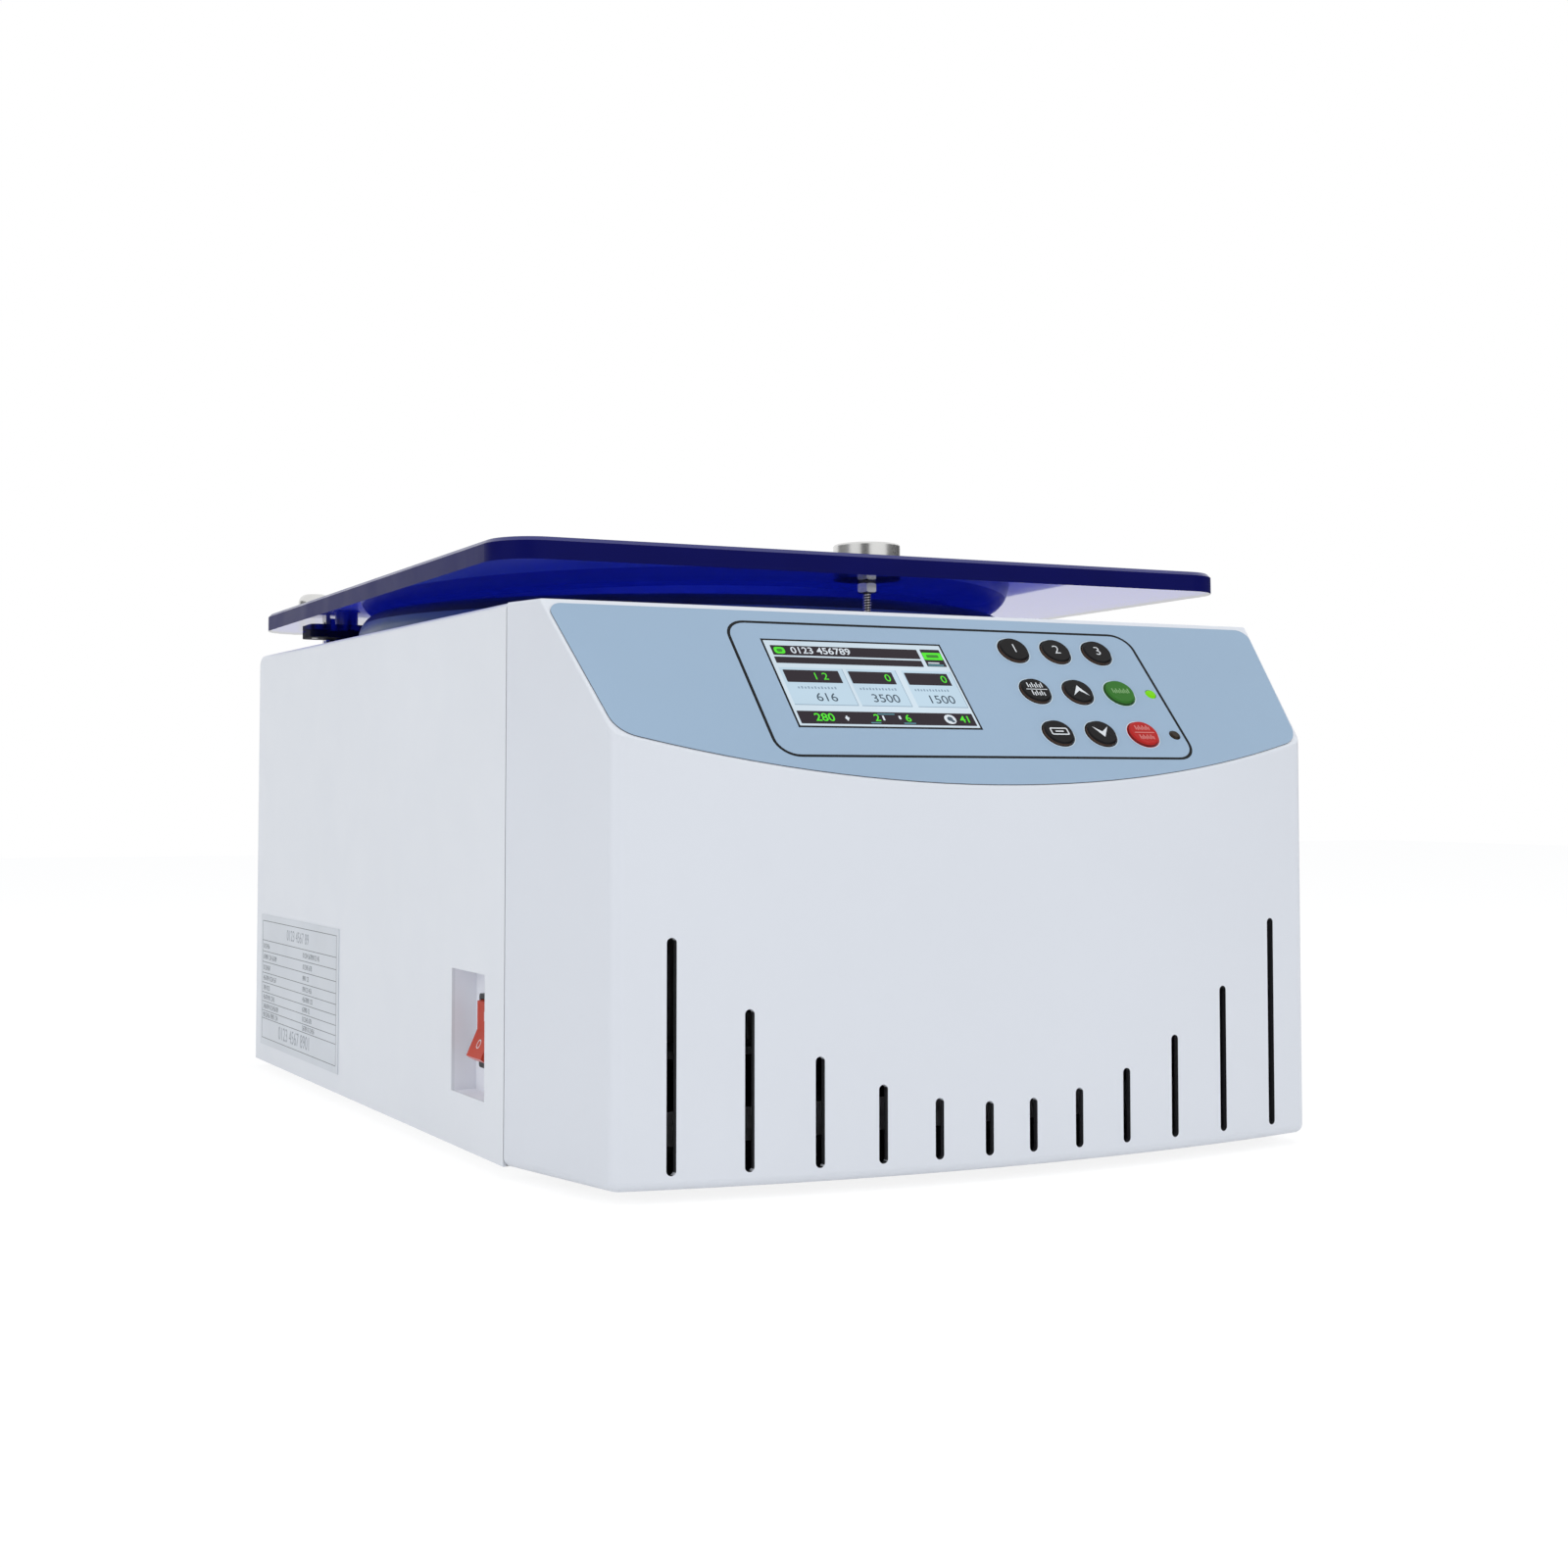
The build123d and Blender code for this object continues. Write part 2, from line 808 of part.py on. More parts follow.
def tube_shape(gap, low, high):
    # A tube's space with a conical foot, between two levels below its mouth
    shoulder = tube_cone - tube_depth
    slope = (tube_radius - tube_tip_radius) / tube_cone
    low_radius = tube_tip_radius + (low + tube_depth) * slope - gap
    if high <= shoulder:
        high_radius = tube_tip_radius + (high + tube_depth) * slope - gap
        return turned([(0, low), (low_radius, low), (high_radius, high), (0, high)])
    side = tube_radius - gap
    return turned([(0, low), (low_radius, low), (side, shoulder), (side, high), (0, high)])


def rotor_body():
    body = turned(rotor_profile(), chamber_y)
    bore = tube_shape(0, -tube_depth, 2 * tube_radius)
    for angle in tube_places():
        body -= down_tube(bore, angle)
    return body


def tube_cushions():
    cushion = tube_shape(fit_gap / 2, -tube_depth, -tube_depth + cushion_height)
    return group(down_tube(cushion, angle) for angle in tube_places())


def rotor_nut():
    dish_z = tube_line(0, -tube_radius - tube_wall)[1]
    grip = disc(nut_radius, dish_z, dish_z + nut_height, y=chamber_y)
    grip = chamfer(grip.edges().group_by(Axis.Z)[-1], nut_edge)
    for index in range(nut_flutes):
        angle = 360.0 / nut_flutes * index
        cutter = Rot(0, 0, angle) * Pos(nut_radius + nut_flute_radius / 2, 0, 0)
        grip -= Pos(0, chamber_y, dish_z) * cutter * Cylinder(nut_flute_radius, 6 * nut_height)
    return grip - disc(shaft_radius + running_gap, dish_z - 1, dish_z + nut_thread + 1, y=chamber_y)


def lid_plate():
    outline = Rectangle(2 * lid_half_width, lid_length)
    outline = fillet(outline.vertices(), lid_corner)
    plate = Pos(0, -lid_length / 2, 0) * extrude(outline, lid_thickness)
    plate = chamfer(plate.faces().sort_by(Axis.Z)[-1].edges(), lid_bevel)
    plate -= Pos(0, latch_local_y, lid_thickness / 2) * Cylinder(stud_radius + fit_gap, 3 * lid_thickness)
    for x, y in cap_places():
        plate -= Pos(x, y, lid_thickness / 2) * Cylinder(cap_shank_radius + fit_gap, 3 * lid_thickness)
    return lid_plane * plate


def cap_places():
    spots = []
    for side in (-1, 1):
        for step in (-1, 1):
            spots.append((side * hinge_x + step * cap_spread, -cap_from_rear))
    return spots


def lid_knob():
    knob = Pos(0, 0, lid_thickness + knob_height / 2) * Cylinder(knob_radius, knob_height)
    knob = fillet(knob.edges().group_by(Axis.Z)[-1], knob_round)
    knob -= Pos(0, 0, lid_thickness) * Cylinder(stud_radius + running_gap, 2 * (knob_height - knob_roof))
    return lid_plane * Pos(0, latch_local_y, 0) * knob


def latch_stud():
    tip = -stud_drop
    neck_low = tip + stud_tip_length
    neck_high = neck_low + stud_neck_length
    top = lid_thickness + knob_height - knob_roof - fit_gap
    edge = stud_radius - stud_neck_radius
    points = [
        (0, tip), (stud_neck_radius, tip), (stud_radius, tip + edge), (stud_radius, neck_low),
        (stud_neck_radius, neck_low), (stud_neck_radius, neck_high), (stud_radius, neck_high),
        (stud_radius, top), (0, top),
    ]
    return lid_plane * Pos(0, latch_local_y, 0) * turned(points)


def latch_washer():
    low = -washer_thickness
    return lid_plane * Pos(0, latch_local_y, 0) * ring(washer_radius, stud_radius + running_gap, low, 0)


def latch_nut():
    top = -washer_thickness
    flats = extrude(RegularPolygon(nut_across_flats / 2, 6, major_radius=False), latch_nut_height)
    nut = Pos(0, 0, top - latch_nut_height) * flats
    corner = nut_across_flats / 2 / cos(radians(30))
    rounding = Pos(0, 0, top - latch_nut_height / 2) * Cylinder(corner, latch_nut_height)
    rounding = chamfer(rounding.edges().filter_by(GeomType.CIRCLE), latch_nut_edge)
    nut &= rounding
    nut -= Pos(0, 0, top) * Cylinder(stud_radius + running_gap, 4 * latch_nut_height)
    return lid_plane * Pos(0, latch_local_y, 0) * nut


def lock_bush():
    bore = bush_radius
    wall = bush_radius + bush_wall
    sleeve = ring(wall, bore, case_height - bush_depth, case_height + bush_flange, y=latch_y)
    lip = ring(wall + bush_flange_width, bore, case_height, case_height + bush_flange, y=latch_y)
    return sleeve + lip


def bolt_level():
    # The bolt lies level with the middle of the stud's neck
    neck_middle = -stud_drop + stud_tip_length + stud_neck_length / 2
    return lid_plane.from_local_coords(Vector(0, latch_local_y, neck_middle)).Z


def bolt_slot(gap):
    low = bolt_level() - bolt_thickness / 2 - gap
    high = bolt_level() + bolt_thickness / 2 + gap
    half = bolt_width / 2 + gap
    return (-half, half), (low, high)


def lock_housing():
    ceiling = case_height - sheet
    body = block(
        (-lock_width / 2, lock_width / 2),
        (lock_start_y, lock_start_y + lock_length),
        (ceiling - lock_height, ceiling),
    )
    x_range, z_range = bolt_slot(bolt_gap)
    return body - block(x_range, (lock_start_y - 1, lock_start_y + lock_length - lock_wall), z_range)


def lock_bolt():
    # A flat tongue with an open notch that closes round the stud's neck
    x_range, z_range = bolt_slot(0)
    start = latch_y + bolt_travel - bolt_hook
    tongue = block(x_range, (start, lock_start_y + lock_length - 1.5 * lock_wall), z_range)
    notch_half = stud_neck_radius + bolt_notch_gap
    notch_end = latch_y + bolt_travel + notch_half
    tongue -= block((-notch_half, notch_half), (start - 1, notch_end), (0, cut_size))
    return tongue


def hinge_leaf(side):
    plate = block(
        (-leaf_width / 2, leaf_width / 2),
        (-leaf_rear - leaf_length, -leaf_rear),
        (-leaf_thickness, 0),
    )
    plate = fillet(plate.edges().filter_by(Axis.Z), leaf_corner)
    for step in (-1, 1):
        plate -= Pos(step * cap_spread, -cap_from_rear, 0) * Cylinder(cap_shank_radius, 4 * leaf_thickness)
    middle = -side * knuckle_inset
    half = knuckle_width / 2
    tongue = block(
        (middle - half, middle + half),
        (-leaf_rear - 1, -hinge_back),
        (-leaf_thickness, -tongue_gap),
    )
    axis = Pos(middle, -hinge_back, -hinge_drop) * Rot(0, 90, 0)
    knuckle = axis * Cylinder(knuckle_radius, knuckle_width)
    bore = axis * Cylinder(pin_radius + running_gap, 3 * knuckle_width)
    return lid_plane * Pos(side * hinge_x, 0, 0) * (plate + tongue + knuckle - bore)


def hinge_bracket(side):
    half = bracket_width / 2
    y, z = hinge_axis.Y, hinge_axis.Z
    base = block(
        (-half, half),
        (y - bracket_front, y + bracket_rear),
        (case_height, case_height + bracket_thickness),
    )
    base = fillet(base.edges().filter_by(Axis.Z), bracket_corner)
    inner = knuckle_width / 2 + ear_gap
    for step in (-1, 1):
        middle = step * (inner + ear_width / 2)
        ear = Pos(middle, y, z) * Rot(0, 90, 0) * Cylinder(knuckle_radius, ear_width)
        ear += block(
            (middle - ear_width / 2, middle + ear_width / 2),
            (y - knuckle_radius, y + knuckle_radius),
            (case_height, z),
        )
        base += ear
    base -= Pos(0, y, z) * Rot(0, 90, 0) * Cylinder(pin_radius + running_gap / 2, 2 * bracket_width)
    return Pos(side * (hinge_x - knuckle_inset), 0, 0) * base


def hinge_pin(side):
    length = knuckle_width + 2 * (ear_gap + ear_width + pin_overhang)
    middle = side * (hinge_x - knuckle_inset)
    return Pos(middle, hinge_axis.Y, hinge_axis.Z) * Rot(0, 90, 0) * Cylinder(pin_radius, length)


def hinge_cap():
    # A domed cap nut over the screw that clamps the hinge leaf to the lid
    head = disc(cap_radius, 0, cap_height)
    head = fillet(head.edges().group_by(Axis.Z)[-1], cap_round)
    return head + disc(cap_shank_radius - running_gap, -lid_thickness - leaf_thickness, 0)


def hinge_caps():
    return group(lid_plane * Pos(x, y, lid_thickness) * hinge_cap() for x, y in cap_places())


def lid_buffers():
    # Rubber posts on the case, each under the inner end of a hinge leaf
    buffers = []
    y = lid_rear_y - buffer_from_rear
    for side in (-1, 1):
        x = side * (hinge_x - buffer_inset)
        post = disc(buffer_radius, case_height, case_height + 2 * gasket_height, x, y)
        post += disc(buffer_plate_radius, case_height, case_height + buffer_plate, x, y)
        buffers.append(post & below_lid(leaf_thickness + gasket_squeeze_gap))
    return group(buffers)


def switch_recess():
    half_y = recess_length / 2
    half_z = recess_height / 2
    skin_x = -case_half + sheet
    pan = block(
        (skin_x, recess_floor_x + sheet),
        (recess_y - half_y - sheet, recess_y + half_y + sheet),
        (recess_z - half_z - sheet, recess_z + half_z + sheet),
    )
    pan -= block(
        (skin_x - 1, recess_floor_x),
        (recess_y - half_y, recess_y + half_y),
        (recess_z - half_z, recess_z + half_z),
    )
    hole = bezel_border + fit_gap
    return pan - block(
        (recess_floor_x - 1, recess_floor_x + 2 * sheet),
        (recess_y - bezel_length / 2 + hole, recess_y + bezel_length / 2 - hole),
        (recess_z - bezel_height / 2 + hole - 1, recess_z + bezel_height / 2 - hole + 1),
    )


def switch_body():
    # Bezel on the recess floor, with an open well for the rocker
    x = recess_floor_x
    bezel = block(
        (x - bezel_thickness, x),
        (recess_y - bezel_length / 2, recess_y + bezel_length / 2),
        (recess_z - bezel_height / 2, recess_z + bezel_height / 2),
    )
    bezel = fillet(bezel.edges().filter_by(Axis.X), bezel_corner)
    well_y = rocker_width / 2 + rocker_gap
    body_y = bezel_length / 2 - bezel_border - 2 * fit_gap
    body_z = rocker_radius + rocker_gap + 0.8
    body = block(
        (x - 0.5, x + switch_depth),
        (recess_y - body_y, recess_y + body_y),
        (recess_z - body_z, recess_z + body_z),
    )
    body += bezel
    well = Pos(x, recess_y, recess_z) * Rot(90, 0, 0) * Cylinder(rocker_radius + rocker_gap, 2 * well_y)
    return body - well


def rocker_cut(side):
    # The space outside one half of the rocker's dished face
    slab = Pos(-cut_size / 2, 0, side * cut_size / 2) * Box(cut_size, cut_size, cut_size)
    return Pos(-rocker_middle, 0, 0) * Rot(0, -side * rocker_tilt, 0) * slab


def rocker():
    # A drum round its pivot, cut to a shallow V, with its upper half pressed in
    drum = Rot(90, 0, 0) * Cylinder(rocker_radius, rocker_width)
    for side in (-1, 1):
        drum -= rocker_cut(side)
    drum -= Pos(rocker_back + cut_size / 2, 0, 0) * Box(cut_size, cut_size, cut_size)
    return Pos(recess_floor_x, recess_y, recess_z) * Rot(0, rocker_tilt, 0) * drum


def rating_plate():
    return block(
        (-case_half - plate_thickness, -case_half),
        (plate_front_y, plate_rear_y),
        (plate_foot_z, plate_top_z),
    )


def rear_panel():
    outer = case_depth - sheet
    inner = outer - rear_plate
    half = case_half - rear_frame + rear_overlap
    low, high = tray_wall - rear_overlap / 2, case_height - rear_frame + rear_overlap
    plate = block((-half, half), (inner, outer), (low, high))
    plate -= Pos(fan_x, inner, fan_z) * Rot(90, 0, 0) * Cylinder(fan_hole_radius, 6 * rear_plate)
    inlet_half = inlet_hole_width / 2 + inlet_wall + fit_gap
    inlet_rise = inlet_hole_height / 2 + inlet_wall + fit_gap
    plate -= block(
        (inlet_x - inlet_half, inlet_x + inlet_half),
        (inner - 1, outer + 1),
        (inlet_z - inlet_rise, inlet_z + inlet_rise),
    )
    fuse_hole = Cylinder(fuse_body_radius + fit_gap, 6 * rear_plate)
    plate -= Pos(fuse_x, inner, inlet_z) * Rot(90, 0, 0) * fuse_hole
    return plate


def fan_frame():
    inner = case_depth - sheet - rear_plate
    half = fan_size / 2
    frame = block((fan_x - half, fan_x + half), (inner - fan_depth, inner), (fan_z - half, fan_z + half))
    frame = fillet(frame.edges().filter_by(Axis.Y), fan_corner)
    middle = Pos(fan_x, inner - fan_depth / 2, fan_z) * Rot(90, 0, 0)
    frame -= middle * Cylinder(fan_hole_radius, 2 * fan_depth)
    # The motor hub stands on four spokes at the inner side
    face = Pos(fan_x, inner - fan_depth + fan_spoke / 2, fan_z)
    frame += face * Rot(90, 0, 0) * Cylinder(fan_hub_radius, fan_spoke)
    frame += face * Rot(0, 45, 0) * Box(2 * fan_hole_radius + 2, fan_spoke, fan_spoke)
    frame += face * Rot(0, -45, 0) * Box(2 * fan_hole_radius + 2, fan_spoke, fan_spoke)
    axle = Pos(fan_x, inner - fan_depth + fan_spoke + fan_axle_length / 2, fan_z)
    return frame + axle * Rot(90, 0, 0) * Cylinder(fan_axle_radius, fan_axle_length)


def fan_blades():
    inner = case_depth - sheet - rear_plate
    low = inner - fan_depth + fan_spoke + fan_wheel_gap
    high = inner - fan_wheel_inset
    middle = Pos(fan_x, (low + high) / 2, fan_z) * Rot(90, 0, 0)
    wheel = Cylinder(fan_hub_radius, high - low)
    reach = fan_hole_radius - fan_blade_gap
    span = reach - fan_hub_radius + fan_blade_root
    blade = Rot(fan_blade_angle, 0, 0) * Box(span, fan_blade_width, fan_blade_thickness)
    blade = Pos(fan_hub_radius - fan_blade_root + span / 2, 0, 0) * blade
    for index in range(fan_blade_count):
        wheel += Rot(0, 0, 360.0 / fan_blade_count * index) * blade
    wheel &= Cylinder(reach, high - low)
    wheel -= Pos(0, 0, 1) * Cylinder(fan_axle_radius + running_gap, high - low)
    return middle * wheel


def fan_guard():
    rings = None
    radius = fan_hole_radius + 1
    while radius > guard_ring_pitch:
        band = Circle(radius) - Circle(radius - guard_ring_width)
        rings = band if rings is None else rings + band
        radius -= guard_ring_pitch
    rings += Circle(radius + 1)
    for angle in (45, 135):
        rings += Rot(0, 0, angle) * Rectangle(guard_arm_length, guard_arm_width)
    face = Plane(origin=(fan_x, case_depth - sheet, fan_z), x_dir=(-1, 0, 0), z_dir=(0, 1, 0))
    return face * extrude(rings, guard_thickness)


def power_inlet():
    outer = case_depth - sheet
    half = inlet_width / 2
    rise = inlet_height / 2
    body = block(
        (inlet_x - half, inlet_x + half),
        (outer, outer + inlet_flange),
        (inlet_z - rise, inlet_z + rise),
    )
    body = fillet(body.edges().filter_by(Axis.Y), inlet_corner)
    back_half = inlet_hole_width / 2 + inlet_wall
    back_rise = inlet_hole_height / 2 + inlet_wall
    body += block(
        (inlet_x - back_half, inlet_x + back_half),
        (outer - inlet_depth, outer + 0.5),
        (inlet_z - back_rise, inlet_z + back_rise),
    )
    body -= block(
        (inlet_x - inlet_hole_width / 2, inlet_x + inlet_hole_width / 2),
        (outer - inlet_depth + inlet_floor, outer + inlet_flange + 1),
        (inlet_z - inlet_hole_height / 2, inlet_z + inlet_hole_height / 2),
    )
    # Three flat contact blades stand in the socket
    for x, z in ((-contact_pitch, -contact_drop), (0, contact_rise), (contact_pitch, -contact_drop)):
        body += block(
            (inlet_x + x - contact_thickness / 2, inlet_x + x + contact_thickness / 2),
            (outer - inlet_depth + inlet_floor / 2, outer - inlet_floor),
            (inlet_z + z - contact_height / 2, inlet_z + z + contact_height / 2),
        )
    for side in (-1, 1):
        x = inlet_x + side * inlet_screw_pitch / 2
        body -= Pos(x, outer, inlet_z) * Rot(90, 0, 0) * Cylinder(inlet_screw_radius, 8 * inlet_flange)
    return body


def fuse_holder():
    outer = case_depth - sheet
    place = Pos(fuse_x, outer + fuse_flange / 2, inlet_z)
    cap = place * Rot(90, 0, 0) * Cylinder(fuse_radius, fuse_flange)
    slot = Box(fuse_slot_length, 2 * fuse_slot_depth, fuse_slot_width)
    cap = cap - Pos(fuse_x, outer + fuse_flange, inlet_z) * slot
    body = Pos(fuse_x, outer - fuse_depth / 2, inlet_z) * Rot(90, 0, 0)
    return cap + body * Cylinder(fuse_body_radius, fuse_depth + fuse_flange)


def drive_board():
    low = tray_top + drive_post
    board = block(
        (drive_x - drive_width / 2, drive_x + drive_width / 2),
        (drive_y - drive_length / 2, drive_y + drive_length / 2),
        (low, low + board_thickness),
    )
    for a in (-1, 1):
        for b in (-1, 1):
            x = drive_x + a * (drive_width / 2 - drive_post_inset)
            y = drive_y + b * (drive_length / 2 - drive_post_inset)
            board += block(
                (x - drive_post_width / 2, x + drive_post_width / 2),
                (y - drive_post_width / 2, y + drive_post_width / 2),
                (tray_top, low + board_thickness / 2),
            )
    x = drive_x + drive_width / 2 - capacitor_inset
    for step in (-1, 0, 1):
        board += disc(capacitor_radius, low, low + capacitor_height, x, drive_y + step * capacitor_pitch)
    return board


def drive_heatsink():
    low = tray_top + drive_post + board_thickness
    left = drive_x - drive_width / 2 + sink_margin
    half = sink_length / 2
    sink = block((left, left + sink_width), (drive_y - half, drive_y + half), (low, low + sink_base))
    for index in range(sink_fins):
        x = left + index * (sink_width - sink_fin) / (sink_fins - 1)
        sink += block((x, x + sink_fin), (drive_y - half, drive_y + half), (low, low + sink_height))
    return sink


os.makedirs("parts", exist_ok=True)
save("base_plate", base_plate())
save("rubber_feet", rubber_feet())
save("base_screws", base_screws())
save("case_cover", case_cover())
save("rear_panel", rear_panel())
save("rear_screws", rear_screws())
save("switch_recess", switch_recess())
save("rating_plate", rating_plate())
save("front_cover", front_cover())
save("control_overlay", control_overlay())
save("display_window", display_window())
save("display_module", display_module())
save("control_board", control_board())
save("status_leds", status_leds())
save("chamber_collar", chamber_collar())
save("chamber_gasket", chamber_gasket())
save("chamber_bowl", chamber_bowl())
save("shaft_boot", shaft_boot())
save("motor_mount_plate", motor_mount_plate())
save("damper_mounts", dampers())
save("motor_housing", motor_housing())
save("motor_stator", motor_stator())
save("motor_bearings", motor_bearings())
save("motor_armature", motor_armature())
save("drive_shaft", drive_shaft())
save("rotor_body", rotor_body())
save("rotor_nut", rotor_nut())
save("tube_cushions", tube_cushions())
save("lock_bush", lock_bush())
save("lock_housing", lock_housing())
save("lock_bolt", lock_bolt())
save("lid_plate", lid_plate())
save("lid_knob", lid_knob())
save("latch_stud", latch_stud())
save("latch_washer", latch_washer())
save("latch_nut", latch_nut())
save("hinge_leaves", group(hinge_leaf(side) for side in (-1, 1)))
save("hinge_brackets", group(hinge_bracket(side) for side in (-1, 1)))
save("hinge_pins", group(hinge_pin(side) for side in (-1, 1)))
save("hinge_caps", hinge_caps())
save("lid_buffers", lid_buffers())
save("switch_body", switch_body())
save("rocker", rocker())
save("power_inlet", power_inlet())
save("fuse_holder", fuse_holder())
save("fan_frame", fan_frame())
save("fan_blades", fan_blades())
save("fan_guard", fan_guard())
save("drive_board", drive_board())
save("drive_heatsink", drive_heatsink())
save_keys()
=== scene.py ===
import bmesh
import bpy
import math
from mathutils import Matrix, Vector


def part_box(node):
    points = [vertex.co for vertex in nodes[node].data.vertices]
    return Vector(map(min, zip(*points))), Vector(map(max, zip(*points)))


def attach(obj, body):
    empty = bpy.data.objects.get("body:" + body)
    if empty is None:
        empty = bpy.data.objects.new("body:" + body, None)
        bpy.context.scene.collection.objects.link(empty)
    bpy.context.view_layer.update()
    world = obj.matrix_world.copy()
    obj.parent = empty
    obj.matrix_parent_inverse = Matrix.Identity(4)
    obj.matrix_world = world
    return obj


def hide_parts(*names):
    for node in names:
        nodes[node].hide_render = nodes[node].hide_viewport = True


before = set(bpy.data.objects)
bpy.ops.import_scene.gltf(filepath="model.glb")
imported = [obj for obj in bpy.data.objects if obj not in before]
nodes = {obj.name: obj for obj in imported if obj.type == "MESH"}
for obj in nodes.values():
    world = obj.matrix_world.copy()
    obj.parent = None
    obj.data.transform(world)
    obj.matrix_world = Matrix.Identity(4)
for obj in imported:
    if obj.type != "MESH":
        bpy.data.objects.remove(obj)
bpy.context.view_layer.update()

# Studio
# A pale floor and a white surround with soft lamps at a plain level. The camera
# stands low at the machine's left front corner and looks a little upwards.
camera_place = (-0.51654, -1.07013, 0.16495)
camera_turn = 26.9908
camera_rise = 2.8315
camera_lens = 51.04
camera_sensor = 36.0
camera_shift = -0.0669
camera_nearest = 0.01
plain_white = (1.0, 1.0, 1.0, 1.0)
surround_strength = 1.0
soft_strength = 0.62
soft_colour = (0.95, 0.97, 1.0, 1.0)
lamp_power = 12.0
floor_size = 9.0
floor_glow = 0.85
floor_pale = (0.22, 0.22, 0.22, 1.0)
floor_bounce = (0.93, 0.93, 0.93, 1.0)
flag_height = 0.9
flag_distance = 2.6
flag_fade_from = 0.36
flag_fade_to = 0.50

scene = bpy.context.scene
scene.view_settings.view_transform = "Standard"


def add_node(tree, kind, **sockets):
    # A shader node with the named sockets set; an underline stands for a space
    node = tree.nodes.new("ShaderNode" + kind)
    for label, value in sockets.items():
        node.inputs[label.replace("_", " ")].default_value = value
    return node


def seen_directly(tree):
    # One where the camera, a mirror or a glass piece looks, nought for soft light
    path = add_node(tree, "LightPath")
    level = path.outputs["Is Camera Ray"]
    for ray in ("Is Glossy Ray", "Is Transmission Ray"):
        either = add_node(tree, "Math")
        either.operation = "MAXIMUM"
        tree.links.new(level, either.inputs[0])
        tree.links.new(path.outputs[ray], either.inputs[1])
        level = either.outputs[0]
    return level


def white_surround():
    world = bpy.data.worlds.new("white_surround")
    world.use_nodes = True
    tree = world.node_tree
    tree.nodes.clear()
    soft = add_node(tree, "Background", Color=soft_colour, Strength=soft_strength)
    plain = add_node(tree, "Background", Color=plain_white, Strength=surround_strength)
    mix = add_node(tree, "MixShader")
    out = add_node(tree, "OutputWorld")
    tree.links.new(seen_directly(tree), mix.inputs[0])
    tree.links.new(soft.outputs[0], mix.inputs[1])
    tree.links.new(plain.outputs[0], mix.inputs[2])
    tree.links.new(mix.outputs[0], out.inputs[0])
    return world


def floor_finish():
    material = bpy.data.materials.new("pale_floor")
    material.use_nodes = True
    tree = material.node_tree
    tree.nodes.clear()
    bounce = add_node(tree, "BsdfDiffuse", Color=floor_bounce)
    shade = add_node(tree, "BsdfDiffuse", Color=floor_pale)
    glow = add_node(tree, "Emission", Strength=floor_glow)
    both = add_node(tree, "AddShader")
    mix = add_node(tree, "MixShader")
    out = add_node(tree, "OutputMaterial")
    tree.links.new(shade.outputs[0], both.inputs[0])
    tree.links.new(glow.outputs[0], both.inputs[1])
    tree.links.new(seen_directly(tree), mix.inputs[0])
    tree.links.new(bounce.outputs[0], mix.inputs[1])
    tree.links.new(both.outputs[0], mix.inputs[2])
    tree.links.new(mix.outputs[0], out.inputs[0])
    return material


def soft_lamp(name, place, aim, size):
    data = bpy.data.lights.new(name, "AREA")
    data.size = size
    data.energy = lamp_power
    lamp = bpy.data.objects.new(name, data)
    scene.collection.objects.link(lamp)
    lamp.location = place
    lamp.rotation_euler = (Vector(aim) - Vector(place)).to_track_quat("-Z", "Y").to_euler()
    lamp.visible_glossy = False


scene.world = white_surround()
bpy.ops.object.select_all(action="DESELECT")
bpy.ops.mesh.primitive_plane_add(size=floor_size)
floor = bpy.context.object
floor.name = "floor"
floor.data.materials.append(floor_finish())

soft_lamp("lamp_above", (0.2, -0.6, 2.4), (0.0, 0.0, 0.15), 1.8)
soft_lamp("lamp_left", (-2.3, -0.4, 1.2), (0.0, 0.0, 0.12), 1.6)
soft_lamp("lamp_front", (0.5, -2.6, 1.0), (0.0, 0.0, 0.12), 1.6)


def grey_flag(name, bearing, width, tone):
    # An upright card that only shows in metal and gloss, so that round parts get
    # streaks. It fades to white at its ends.
    bpy.ops.object.select_all(action="DESELECT")
    turn = math.radians(bearing)
    bpy.ops.mesh.primitive_plane_add(
        size=1.0, rotation=(math.radians(90), 0, turn),
        location=(flag_distance * math.sin(turn), -flag_distance * math.cos(turn), flag_height / 2),
    )
    card = bpy.context.object
    card.name = name
    card.scale = (width, flag_height, 1.0)
    paint = bpy.data.materials.new(name)
    paint.use_nodes = True
    tree = paint.node_tree
    tree.nodes.clear()
    place = add_node(tree, "TexCoord")
    sides = add_node(tree, "SeparateXYZ")
    away = add_node(tree, "Math")
    away.operation = "ABSOLUTE"
    fade = add_node(tree, "MapRange", From_Min=flag_fade_from, From_Max=flag_fade_to,
                    To_Min=tone, To_Max=1.0)
    fade.interpolation_type = "SMOOTHSTEP"
    light = add_node(tree, "Emission")
    out = add_node(tree, "OutputMaterial")
    tree.links.new(place.outputs["Object"], sides.inputs[0])
    tree.links.new(sides.outputs["X"], away.inputs[0])
    tree.links.new(away.outputs[0], fade.inputs["Value"])
    tree.links.new(fade.outputs["Result"], light.inputs["Color"])
    tree.links.new(light.outputs[0], out.inputs[0])
    card.data.materials.append(paint)
    card.visible_camera = False
    card.visible_diffuse = False
    card.visible_transmission = False
    card.visible_shadow = False


grey_flag("flag_middle", -33.0, 1.5, 0.01)
grey_flag("flag_right", 84.0, 5.6, 0.10)
grey_flag("flag_left", -115.0, 3.2, 0.26)

